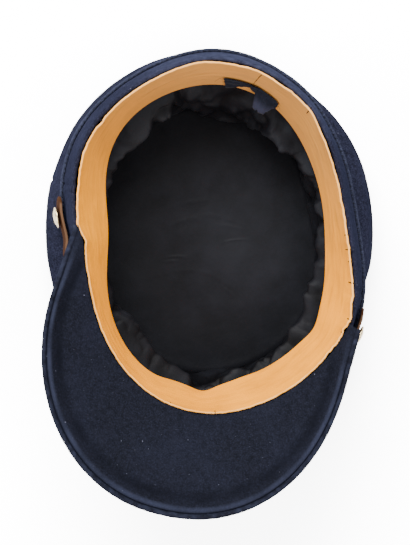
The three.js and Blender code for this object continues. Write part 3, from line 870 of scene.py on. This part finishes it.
SWEATBAND_LEAN = 1.15            # above 1, the leather leans in more towards its free edge
SWEATBAND_STATIONS, SWEATBAND_ROWS = 720, 44
EDGE_POWER = 6                   # how soon the raw edge's wandering fades down the leather
EDGE_TRIM = 0.3                  # how far the raw edge lies under the leather's top
# Where the hand-cut top edge wanders in or out.
EDGE_MARKS = table(
    Mark,
    (-168, 7, -0.9), (-155, 5, 0.4), (-118, 1.6, -0.7), (-95, 8, -0.9), (-78.5, 3.5, 1.3),
    (-71, 2.2, -0.7), (62, 1.2, -0.9), (72.5, 1, -1.1), (77, 1.6, 0.7), (86, 2, 0.5),
    (98, 6, -0.4), (117, 6, 0.3), (145, 10, -0.7), (161, 4, 0.5), (176, 4, -0.5))
# It is ragged all round, and torn most of all at one bearing.
EDGE_RAGGED = Hump(0.3, 5, 9), Hump(0.2, 1.6, 12)
EDGE_TORN, EDGE_TORN_AT = Hump(0.8, 1.1, 3), Mark(68, 9, 1)
EDGE_HIGH = Hump(0.3, 4), Hump(0.22, 1.3, 4)
# Creases along the leather: how deep they press, and humps drawn out round the cap.
CREASE_DEEP = 0.28
CREASES = ((5, Hump(1, 5, 2)), (3, Hump(0.5, 2.4, 4)))
EDGE_WEAR = Hump(0.5, 5, 3)
BACK_SHADE_SHARE, BACK_SHADE_Y = 0.6, (-0.02, 0.1)   # how much painted shade darkens and dulls the leather, and towards the back where

# Nicks and stitch ends in the top edge, and the butt seam behind the bow: the bearing of each,
# how far it runs down the leather's face, by how many degrees it slants on the way, and its
# half width.
Nick = namedtuple("Nick", "at long turn wide", defaults=(0, 0.45))
NICKS = table(
    Nick,
    (161.5, 4.5), (109.2, 2), (102.9, 4), (97.9, 1.8), (89.6, 4), (76.4, 2), (71, 1.6),
    (2.1, 1.6), (17.3, 2.2), (-118.4, 1.8), (-178.3, 20, 1.5, 0.24))
NICK_OUTSIDE = 0.9               # how far a nick's thread starts outside the leather
NICK_WANDER = Hump(0.1, 3)


def edge_wander(bearing):
    ragged = uneven(ring(bearing), *EDGE_RAGGED)
    ragged += marked([EDGE_TORN_AT], bearing) * uneven(ring(bearing), EDGE_TORN)
    return ragged + marked(EDGE_MARKS, bearing)


def sweatband_radius(bearing, share_down):
    lean = min(max(share_down, 0), 1) ** SWEATBAND_LEAN
    return blend(radius_of(HEAD_OPENING, bearing), radius_of(FREE_EDGE, bearing), lean)


def build_sweatband(band):
    top, drop, thick = in_mm(band, "top", "drop", "thick")
    rim = (top - EDGE_TRIM) * MM

    def profile_at(bearing):
        line = []
        edge = uneven(ring(bearing), *EDGE_HIGH)
        wander = edge_wander(bearing)
        for row in range(SWEATBAND_ROWS + 1):
            down = 1 - row / SWEATBAND_ROWS
            near_top = (1 - down) ** EDGE_POWER
            z = top - drop * down + edge * near_top - EDGE_TRIM
            radius = sweatband_radius(bearing, down) + wander * near_top
            crease = sum(uneven(ring(bearing, z, long), hump) for long, hump in CREASES)
            radius -= CREASE_DEEP * abs(crease) * math.sin(math.pi * min(down + 0.1, 1))
            line.append(Vector((radius, z)))
        return wall_profile(line, thick, cap=6)

    def cut_edge(co):
        worn = 0.75 + uneven(co / MM, EDGE_WEAR)
        return smoothstep(co.z, rim, rim + 0.5 * MM) * min(worn, 1)

    bm = spun(SWEATBAND_STATIONS, profile_at)
    paint(bm, "edge", cut_edge)
    # painted shade, darker towards the back of the leather
    paint(bm, "handled", lambda co: BACK_SHADE_SHARE * smoothstep(co.y, *BACK_SHADE_Y))
    leather = vegetable_tanned_leather(
        "Sheepskin leather", band.leather, band.leather_worn, band.leather_edge, 5 * MM)
    add_piece("leather_sweatband", bm, leather, "sweatband_leather", "sweatband")
    nicks = joined([nick_tube(nick, top, drop, thick) for nick in NICKS])
    add_piece("leather_nicks", nicks, waxed_thread("Brown thread", "#20140B"), "sweatband_leather")


def nick_tube(nick, top, drop, thick):
    """A dark thread that crosses the leather's top edge and runs down its face."""

    def place(share, x, y):
        run = share * (thick + nick.long + NICK_OUTSIDE) - NICK_OUTSIDE
        over, down = min(run, thick), max(run - thick, 0)
        bearing = nick.at + nick.turn * share + uneven((run, nick.at, 0), NICK_WANDER)
        near_top = (1 - down / drop) ** EDGE_POWER
        radius = sweatband_radius(bearing, down / drop) + edge_wander(bearing) * near_top
        thin = nick.wide * blend(1, 0.5, share)
        return placed(
            bearing + math.degrees(thin * x / radius), radius - over - 0.05 + thin * y,
            top + 0.12 - down + thin * y)

    return tube(8, 8, place)


# ---- lining ----

# The satin's crest: how far it puffs in past the sweatband's free edge at a bearing, and the
# height at which it does.
Crest = namedtuple("Crest", "at reach z", defaults=(42,))
LINING_CREST = table(
    Crest,
    (-180, 15.8, 18), (-172, 16.5, 14), (-160, 16.5, 14), (-151, 8, 30), (-147, 7),
    (-143, 11.3), (-130, 13.8), (-123, 12.6), (-116, 7.8), (-110, 4.1), (-88, 0, 40),
    (-62, 0, 40), (-48, 1.5, 41), (-37, 5.1), (-28, 10.8), (-21, 13.8), (-14, 13.3), (-7, 9.9),
    (-0.6, 8.3), (6.5, 4.9), (13, 3.6), (19, 5.9), (25, 6), (33, 3.4), (40, 3.9), (47, 3.2),
    (53, 6.2), (59, 8.8), (65, 8.6), (70, 8), (76, 9.4), (82, 7.6), (87, 4.4), (93, 5),
    (98, 2.2), (104, 3.8), (111, 3.6), (118, 2.2), (126, 3.6), (136, 3), (142, 5.9), (148, 6.8),
    (155, 10.1), (162, 12.8), (168, 14.1, 40), (174, 15, 30), (180, 15.8, 18))
LINING_TOP = 48.2
LINING_STATIONS, SATIN_THICK = 800, 0.5
LINING_CLEAR = 4                 # how far the satin's top stands off the band's inner face
TIP_STATIONS, TIP_ROWS = 480, 60
TIP_OVER, TIP_DEEP = 1.5, 1      # how far the tip runs out under the side, and how deep it is
# Round puffs with a sharp tuck between them, the folds on them, and the swell of the tip.
PUFF_WIDE, PUFF_SMALL = Hump(2.4, 24, 6), Hump(0.8, 11, 2)
FOLD_WIDE, FOLD_SMALL, FOLD_SHIFT = Hump(2.2, 18, 5), Hump(0.8, 7, 8), Hump(1, 12, 2)
FOLD_OUT = 1.6                   # how far a fold's back stands out, and a tuck lies back
TIP_SWELL = Hump(0.5, 26, 9)
LIT_PATCH_AT = Vector((0.026, 0.014, 0.006))   # the middle of the pool of light painted on the tip, in metres
# Soft creases in the lining's tip: middle, direction in degrees, length, width and height.
Crease = namedtuple("Crease", "x y turn long wide high")
TIP_CREASES = table(
    Crease,
    (-15, 21, 19, 30, 0.8, 0.24), (-4, 15, 16, 36, 0.8, 0.3), (-8, 25, 21, 26, 0.7, 0.22),
    (-11, 10, 17, 26, 0.8, 0.24), (9, 12, 11, 20, 0.8, 0.24), (12, 25, -12, 18, 0.7, 0.2),
    (3, -21, 3, 34, 0.8, 0.28), (-15, -16, 14, 14, 0.7, 0.28), (-18, -20, 18, 10, 0.7, 0.22),
    (16, 5, 24, 16, 0.8, 0.2), (22, -28, -20, 18, 0.9, 0.2))
CREASE_BEND = 0.012              # how much a crease bows away from its straight line


def crest_at(bearing):
    """The radius and height of the satin's crest at a bearing."""
    turn = bearing_between(bearing, 0)
    after = next(i for i, row in enumerate(LINING_CREST) if row.at > turn)
    low, high = LINING_CREST[after - 1], LINING_CREST[after]
    share = smoothstep(turn, low.at, high.at)
    reach = blend(low.reach, high.reach, share)
    return radius_of(FREE_EDGE, bearing) - reach, blend(low.z, high.z, share)


def puff(bearing, level):
    """How far the satin stands back at a bearing: round puffs with a sharp tuck between each."""
    wide = abs(uneven(ring(bearing, level), PUFF_WIDE))
    return 0.9 - wide - abs(uneven(ring(bearing, 1.4 * level), PUFF_SMALL))


def lining_line(bearing, top, foot):
    """The satin from the tip's seam up to the band, as (radius, height) points."""
    seam = radius_of(LINING_OVAL, bearing)
    crest, height = crest_at(bearing)
    low, middle, high = (puff(bearing, level) for level in (0, 8, 18))
    return smooth_rows(table(
        Pair,
        (seam + 0.6, foot - 0.9),
        (seam + 0.9 + 0.3 * low, foot + 1.6),
        (blend(seam, crest, 0.3) + 2 + 1.6 * low, blend(foot, height, 0.3)),
        (blend(seam, crest, 0.65) + 2.6 + 2.4 * middle, blend(foot, height, 0.7)),
        (crest + 1 + 2 * middle, height - 2.6),
        (crest + 1.8 * high, height),
        (blend(crest, top, 0.16) + high, blend(height, LINING_TOP, 0.36)),
        (blend(crest, top, 0.42) + 0.5 * high, blend(height, LINING_TOP, 0.64)),
        (top, LINING_TOP)), 7)


def crumple(at):
    """How far a point of the satin stands out: 0 in a tuck, 1 on the back of a fold."""
    return min(abs(uneven(at, FOLD_WIDE)) + abs(uneven(at, FOLD_SMALL)), 1)


def tip_creases(at):
    rise = 0
    for crease in TIP_CREASES:
        turn = math.radians(crease.turn)
        x, y = at.x - crease.x, at.y - crease.y
        along = x * math.cos(turn) + y * math.sin(turn)
        across = -x * math.sin(turn) + y * math.cos(turn) + CREASE_BEND * along * along
        rise += crease.high * bell(along, crease.long / 2) * bell(across, crease.wide)
    return rise


def build_lining(lining, shell):
    satin = black_satin("Black satin", lining.satin, lining.satin_lit)
    tip_top = lining.tip / MM + lining.thick / MM
    wall = shell.band_wall / MM
    sections = band_sections(shell)

    def side_profile(bearing):
        top = section_line(sections, bearing)[3].x - wall - LINING_CLEAR
        line = []
        for point in lining_line(bearing, top, tip_top + 0.15):
            at = placed(bearing, point.x, point.y)
            shift = uneven(at, FOLD_SHIFT) + FOLD_OUT - 2 * FOLD_OUT * crumple(at)
            line.append(Vector((point.x + shift * smoothstep(LINING_TOP - point.y, 0, 4), point.y)))
        return wall_profile(line, SATIN_THICK)

    def side_painted_light(co):
        """Painted shade, deeper towards the front; painted highlight on the backs of the folds and
        painted shade in the tucks.
        """
        return blend(-0.8, -0.2, smoothstep(co.y, -0.04, 0.06)) + (crumple(co / MM) - 0.5)

    bm = spun(LINING_STATIONS, side_profile)
    paint(bm, "dust", side_painted_light)
    side = add_piece("lining_gathers", bm, satin, "lining_satin", "lining_side")

    def tip_profile(bearing):
        edge = radius_of(LINING_OVAL, bearing) + TIP_OVER
        line = []
        for row in range(TIP_ROWS + 1):
            radius = edge * row / TIP_ROWS
            at = placed(bearing, radius, 0)
            rise = 0.5 + uneven(at, TIP_SWELL) + tip_creases(at)
            rise += 0.5 * bell(edge - radius, 4)
            line.append(Vector((radius, tip_top - 0.6 + rise * smoothstep(edge - radius, -1, 4))))
        return line + [Vector((edge, tip_top - TIP_DEEP)), Vector((0, tip_top - TIP_DEEP))]

    def tip_painted_light(co):
        off = (co - LIT_PATCH_AT).length / MM
        # a pool of painted light on the tip's middle, and painted shade towards its edge
        return 0.17 * bell(off, 36) - 0.45 * smoothstep(off, 26, 76)

    bm = spun(TIP_STATIONS, tip_profile, closed=False)
    paint(bm, "dust", tip_painted_light)
    disc = add_piece("lining_disc", bm, satin, "lining_satin", "lining_tip")


# ---- chin strap and buttons ----

STRAP_FROM, STRAP_TO = -88, 83   # bearings of the strap's two tips
STRAP_STEPS, STRAP_SIDES = 640, 32
STRAP_SQUARE = 6                 # superellipse power of the strap's section
STRAP_WANDER, STRAP_RIPPLE = Hump(0.25, 9, 4), Hump(0.2, 2, 6)
# Where the strap's stiff ends stand off the band: at the upper edge by top, at the lower by foot.
Loose = namedtuple("Loose", "at wide top foot")
LOOSE_ENDS = table(Loose, (-84, 9, 1.3, 2.2), (-67, 6, 2.4, 2.4), (79, 9, 2.4, 0.6))
BUTTONS = ((-80.4, "button_left"), (74, "button_right"))   # bearings and nodes
BUTTON_STATIONS = 96
BUTTON_DROP = 0.5                # how far a button hangs below the strap's middle
BUTTON_NOD = 0.08                # slope by which its face turns down from the strap's
BUTTON_CLEAR = 0.25              # air between a button and the strap
BUTTON_TURN, BUTTON_RISE = 3, 5  # how far off its middle the strap's slope is taken
BUTTON_RIM, BUTTON_DOME = 1.15, 1.6      # height of the rolled rim, and of the dome above it
BUTTON_ROLL, BUTTON_INSET = 0.75, 1.35   # half width of the rim, and where the dome starts


def strap_face(sections, trim, bearing, z):
    """Radius of the strap's inner face: the band's, plus the air between."""
    line = section_line(sections, bearing)
    upper = next(i for i, point in enumerate(line) if point.y >= z)
    share = (z - line[upper - 1].y) / (line[upper].y - line[upper - 1].y)
    face = blend(line[upper - 1].x, line[upper].x, share) + trim.strap_clear / MM
    down = min(max((trim.strap_height - z * MM) / trim.strap_wide + 0.5, 0), 1)
    for end in LOOSE_ENDS:
        face += blend(end.top, end.foot, down) * bell(bearing_between(bearing, end.at), end.wide)
    return face


def build_strap(trim, shell):
    wide, thick, height = in_mm(trim, "strap_wide", "strap_thick", "strap_height")
    strap_long = math.radians(STRAP_TO - STRAP_FROM) * HEAD_OPENING.mean
    sections = band_sections(shell)

    def place(share, x, y):
        square = (abs(x) ** STRAP_SQUARE + abs(y) ** STRAP_SQUARE) ** (-1 / STRAP_SQUARE)
        x, y = x * square, y * square
        bearing = blend(STRAP_FROM, STRAP_TO, share)
        narrow = rounded(min(share, 1 - share) * strap_long / (wide / 2), 0.0009)
        z = height + y * wide / 2 * narrow + uneven((bearing, 0, 0), STRAP_WANDER)
        out = thick / 2 * (1 + x * blend(0.7, 1, narrow))
        ripple = abs(uneven((bearing / 2, z / 5, 0), STRAP_RIPPLE))
        return placed(bearing, strap_face(sections, trim, bearing, z) + out + ripple, z)

    def worn_edge(co):
        return smoothstep(abs(co.z - trim.strap_height) / (trim.strap_wide / 2), 0.86, 1)

    bm = tube(STRAP_STEPS, STRAP_SIDES, place)
    paint(bm, "edge", worn_edge)
    leather = vegetable_tanned_leather(
        "Strap leather", trim.strap, linear("#3A2413"), trim.strap_edge, 3 * MM)
    add_piece("leather_strap", bm, leather, "strap_leather", "chin_strap")


def button_profile(radius):
    """Half of a plain button's outline: a flat back, a rolled rim and a dome."""
    foot = 0.86 * radius
    back = [Vector((0, 0)), Vector((foot * 0.5, 0)), Vector((foot, 0))]
    roll = [
        Vector((radius - BUTTON_ROLL + BUTTON_ROLL * math.cos(turn),
                BUTTON_RIM / 2 + 0.1 + 0.65 * math.sin(turn)))
        for turn in (math.radians(-80 + 25 * k) for k in range(9))]
    dome_from, dome_foot = radius - BUTTON_INSET, BUTTON_RIM - 0.1
    dome = [
        Vector((dome_from * math.cos(turn), dome_foot + BUTTON_DOME * math.sin(turn)))
        for turn in (math.radians(90 * k / 16) for k in range(16))]
    return back + roll + dome + [Vector((0, dome_foot + BUTTON_DOME))]


def build_buttons(trim, shell):
    brass = gilt_brass("Gilt brass", trim.brass)
    radius, thick, height = in_mm(trim, "button", "strap_thick", "strap_height")
    out = thick + BUTTON_CLEAR + radius * BUTTON_NOD
    profile = button_profile(radius)
    sections = band_sections(shell)
    for at, node in BUTTONS:

        def face(turn, rise):
            z = height - BUTTON_DROP + rise
            return placed(at + turn, strap_face(sections, trim, at + turn, z) + out, z)

        ahead = face(BUTTON_TURN, 0) - face(-BUTTON_TURN, 0)
        upward = face(0, BUTTON_RISE) - face(0, -BUTTON_RISE)
        outward = (ahead.cross(upward).normalized() - Vector((0, 0, BUTTON_NOD))).normalized()
        bm = spun(BUTTON_STATIONS, lambda bearing: list(profile), closed=False)
        bm.transform(facing(face(0, 0) * MM, outward))
        add_piece(f"gilt_{node}", bm, brass, "brass", node)


# ---- ribbon bow ----

BOW_BEARING = -177.3
ROWS_BETWEEN = 9                 # rows made for each row in the tables
# The ribbon's rows, along it from the free tail on the left. Its middle line stands at z, with
# up above it and down below it. The lower part leans by lean degrees towards the cap's middle,
# and lies in off the leather. The upper edge is slant further along than the middle.
Row = namedtuple("Row", "along z up down lean off slant", defaults=(0,))
TAIL_ROWS = table(
    Row,
    (16.9, 59.9, 6.2, 7.6, 0, 0.5, 1), (13, 61.4, 5.2, 6.2, 0, 0.8, 0.6),
    (8, 63.4, 3.8, 3.9, 0, 1), (4.4, 65, 2.6, 2.6, 0, 0.9), (2.2, 65.8, 2, 2, 0, 1.1),
    (0, 66, 1.8, 1.8, 0, 1.3))
LOOP_ROWS = table(
    Row,
    (0, 66, 1.8, 1.8, 0, 1.4), (-1.6, 65.8, 2.2, 5, 10, 1.3),
    (-2.4, 65.4, 2.4, 14, 26, 1.2, 0.6), (-6, 64.6, 2.6, 13.2, 30, 1.2, 0.3),
    (-10, 63.6, 3, 12.4, 30, 1.2), (-13, 62.5, 3.6, 9.6, 22, 1),
    (-15, 61.6, 3.9, 6.4, 8, 0.9), (-16.8, 60.6, 3.2, 3.4, 0, 0.8))
KNOT_ROWS = table(
    Row,
    (2, 65.9, 2.2, 2.3, 0, 1.2), (0.9, 66, 2.5, 2.7, 0, 1.9), (-0.9, 65.9, 2.6, 2.7, 4, 1.9),
    (-2.2, 65.6, 2.2, 2.4, 8, 1.2))
# Each strip's rows, steps across it, thickness, depth of its pleats and seed.
STRIPS = (
    (TAIL_ROWS, 14, 0.5, 0.4, 1), (LOOP_ROWS, 22, 0.5, 0.5, 3), (KNOT_ROWS, 10, 0.9, 0.3, 5))
FRAY_DOWN, FRAY_END = Hump(0.16, 0.9), Hump(0.25, 0.1)

# Frayed ends and pulled threads: a strand starts at a row, across the ribbon by across, and
# runs for long millimetres, along the ribbon by ahead and in off it by drift.
Strand = namedtuple("Strand", "row across long ahead drift")
STRANDS = table(
    Strand,
    (TAIL_ROWS[0], 0.95, 3.2, 1.6, 0.8), (TAIL_ROWS[0], 0.7, 1.6, 1.2, 0.3),
    (TAIL_ROWS[0], 0.2, 1.2, 1, 0.5), (TAIL_ROWS[0], -0.4, 1.8, 1.3, 0.2),
    (LOOP_ROWS[3], -1, 3, -0.6, 1.4), (LOOP_ROWS[3], -0.97, 2.4, 0.7, 1.2),
    (LOOP_ROWS[4], -1, 1.8, -0.4, 1), (LOOP_ROWS[6], 0.3, 2.6, -1.6, 0.5),
    (LOOP_ROWS[6], -0.5, 2.2, -1.2, 1), (LOOP_ROWS[6], -0.9, 3, -0.8, 1.4))
STRAND_THICK = 0.16


def bow_point(band, row, across, off):
    """A point of the ribbon: across runs from -1 at its lower edge to 1 at its upper one."""
    reach = across * (row.up if across > 0 else row.down)
    lean = math.radians(row.lean * (1 if across < 0 else 0.5))
    down = min(reach, 0)
    z = row.z + max(reach, 0) + down * math.cos(lean) - off * math.sin(lean)
    bearing = BOW_BEARING + math.degrees((row.along + row.slant * across) / HEAD_OPENING.mean)
    share_down = (band.top / MM - z) / (band.drop / MM)
    face = sweatband_radius(bearing, share_down) - band.thick / MM
    return placed(bearing, face - row.off + down * math.sin(lean) - off * math.cos(lean), z)


def ribbon_strip(band, rows, across_steps, thick, pleats, seed):
    """A closed strip of ribbon through the rows, with pleats that fan out from the knot."""
    fine = smooth_rows(rows, ROWS_BETWEEN)
    last = len(fine) - 1
    bm = bmesh.new()
    bmesh.ops.create_grid(bm, x_segments=last, y_segments=across_steps, size=0.5)
    top = doubled(bm)
    uv = bm.loops.layers.uv.new("Cloth")
    for face in bm.faces:
        for loop in face.loops:
            row = fine[round((loop.vert.co.x + 0.5) * last)]
            loop[uv].uv = (row.along * MM, loop.vert.co.y * (row.up + row.down) * MM)
    for vert in bm.verts:
        row = fine[round((vert.co.x + 0.5) * last)]
        across = 2 * vert.co.y
        frayed = 1 + uneven((row.along, 0, seed), FRAY_DOWN)
        slant = row.slant + uneven((across, seed, 0), FRAY_END)
        fold = pleats * (0.5 + 0.5 * math.sin(across * 7 + seed))
        fold += uneven((row.along, across * 4, 0), Hump(0.15, 3, seed))
        row = row._replace(down=row.down * frayed, slant=slant)
        vert.co = bow_point(band, row, across, fold + (thick if vert in top else 0)) * MM
    bmesh.ops.recalc_face_normals(bm, faces=bm.faces)
    return bm


def strand_tube(band, strand):
    def place(share, x, y):
        run = share * strand.long
        row = strand.row._replace(along=strand.row.along + strand.ahead * run)
        curl = strand.drift * share * share * strand.long + 0.3
        point = bow_point(band, row, strand.across, curl)
        return point + STRAND_THICK * Vector((x, 0, y)) * (1 - 0.6 * share)

    return tube(10, 6, place)


def build_bow(trim, band):
    meshes = [ribbon_strip(band, *strip) for strip in STRIPS]
    meshes += [strand_tube(band, strand) for strand in STRANDS]
    ribbon = ribbed_ribbon("Grosgrain ribbon", trim.ribbon)
    add_piece("ribbon_bow", joined(meshes), ribbon, "ribbon", "sweatband_bow")


# ---- stage, in metres ----

CAMERA_AT = Vector((-0.036, -0.018, 0.8365))
CAMERA_AIM = Vector((-0.0001, -0.0205, 0.0865))
CAMERA_ROLL = math.radians(17.5)  # turn of the view's right-hand direction, from +X towards +Y
FLOOR_HALF = 14
LIGHT_SIDE = 0.9
LIGHTS = (
    ("Key", Vector((-0.48, 0.76, 1.0))), ("Right", Vector((0.8, -0.3, 0.8))),
    ("Left", Vector((-0.75, -0.7, 0.7))))


def build_stage(stage):
    camera = bpy.data.cameras.new("Camera")
    camera.lens = stage.lens
    camera.sensor_width = 36
    eye = add_object("Camera", camera)
    forward = (CAMERA_AIM - CAMERA_AT).normalized()
    right = Vector((math.cos(CAMERA_ROLL), math.sin(CAMERA_ROLL), 0))
    right = (right - forward * right.dot(forward)).normalized()
    turn = Matrix((right, right.cross(forward), -forward)).transposed()
    eye.matrix_world = Matrix.Translation(CAMERA_AT) @ turn.to_4x4()
    bpy.context.scene.camera = eye

    bm = bmesh.new()
    bmesh.ops.create_grid(bm, x_segments=8, y_segments=8, size=FLOOR_HALF)
    paper = paper_sweep("Paper sweep", list(stage.floor), stage.floor_gain)
    add_mesh("floor", bm, paper)

    world = bpy.data.worlds.new("Light tent")
    bpy.context.scene.world = world
    world.use_nodes = True
    sky = world.node_tree.nodes["Background"]
    sky.inputs["Color"].default_value = linear("#FFFFFF")
    sky.inputs["Strength"].default_value = stage.sky
    for name, place in LIGHTS:
        lamp = bpy.data.lights.new(name, "AREA")
        lamp.size = LIGHT_SIDE
        lamp.energy = getattr(stage, name.lower())
        add_object(name, lamp).matrix_world = facing(place, place)


# ---- operators ----


class YACHTCAP_OT_stage(bpy.types.Operator):
    """Adds the floor, the lights and the camera"""

    bl_idname = "yachtcap.stage"
    bl_label = "Stage"

    def execute(self, context):
        build_stage(context.scene.yachtcap_stage)
        return {"FINISHED"}


class YACHTCAP_OT_crown(bpy.types.Operator):
    """Models the crown's flat top and its side"""

    bl_idname = "yachtcap.crown"
    bl_label = "Crown"

    def execute(self, context):
        build_crown(context.scene.yachtcap_shell)
        return {"FINISHED"}


class YACHTCAP_OT_band(bpy.types.Operator):
    """Models the band and the piping at its seam"""

    bl_idname = "yachtcap.band"
    bl_label = "Band and piping"

    def execute(self, context):
        build_band(context.scene.yachtcap_shell)
        return {"FINISHED"}


class YACHTCAP_OT_peak(bpy.types.Operator):
    """Models the peak and its turned edge"""

    bl_idname = "yachtcap.peak"
    bl_label = "Peak"

    def execute(self, context):
        build_peak(context.scene.yachtcap_peak, context.scene.yachtcap_shell)
        return {"FINISHED"}


class YACHTCAP_OT_sweatband(bpy.types.Operator):
    """Models the leather sweatband"""

    bl_idname = "yachtcap.sweatband"
    bl_label = "Sweatband"

    def execute(self, context):
        build_sweatband(context.scene.yachtcap_sweatband)
        return {"FINISHED"}


class YACHTCAP_OT_lining(bpy.types.Operator):
    """Models the gathered side and the flat tip of the lining"""

    bl_idname = "yachtcap.lining"
    bl_label = "Lining"

    def execute(self, context):
        build_lining(context.scene.yachtcap_lining, context.scene.yachtcap_shell)
        return {"FINISHED"}


class YACHTCAP_OT_trim(bpy.types.Operator):
    """Models the chin strap, its two buttons and the ribbon bow"""

    bl_idname = "yachtcap.trim"
    bl_label = "Strap, buttons and bow"

    def execute(self, context):
        scene = context.scene
        build_strap(scene.yachtcap_trim, scene.yachtcap_shell)
        build_buttons(scene.yachtcap_trim, scene.yachtcap_shell)
        build_bow(scene.yachtcap_trim, scene.yachtcap_sweatband)
        return {"FINISHED"}


class YACHTCAP_PT_panel(bpy.types.Panel):
    """Lists the cap's pieces in the sidebar"""

    bl_label = "Yacht Cap"
    bl_idname = "YACHTCAP_PT_panel"
    bl_space_type = "VIEW_3D"
    bl_region_type = "UI"
    bl_category = "Yacht Cap"

    def draw(self, context):
        for operator in OPERATORS:
            self.layout.operator(operator.bl_idname)


OPERATORS = (
    YACHTCAP_OT_stage, YACHTCAP_OT_crown, YACHTCAP_OT_band, YACHTCAP_OT_peak,
    YACHTCAP_OT_sweatband, YACHTCAP_OT_lining, YACHTCAP_OT_trim)
GROUPS = {
    "yachtcap_shell": YachtCapShell,
    "yachtcap_peak": YachtCapPeak,
    "yachtcap_sweatband": YachtCapSweatband,
    "yachtcap_lining": YachtCapLining,
    "yachtcap_trim": YachtCapTrim,
    "yachtcap_stage": YachtCapStage,
}


def register():
    for name, group in GROUPS.items():
        bpy.utils.register_class(group)
        setattr(bpy.types.Scene, name, PointerProperty(type=group))
    for kind in (*OPERATORS, YACHTCAP_PT_panel):
        bpy.utils.register_class(kind)


def unregister():
    for kind in (YACHTCAP_PT_panel, *reversed(OPERATORS)):
        bpy.utils.unregister_class(kind)
    for name, group in reversed(GROUPS.items()):
        delattr(bpy.types.Scene, name)
        bpy.utils.unregister_class(group)


def main():
    register()
    bpy.ops.yachtcap.stage()
    bpy.ops.yachtcap.crown()
    bpy.ops.yachtcap.band()
    bpy.ops.yachtcap.peak()
    bpy.ops.yachtcap.sweatband()
    bpy.ops.yachtcap.lining()
    bpy.ops.yachtcap.trim()


if __name__ == "__main__":
    main()
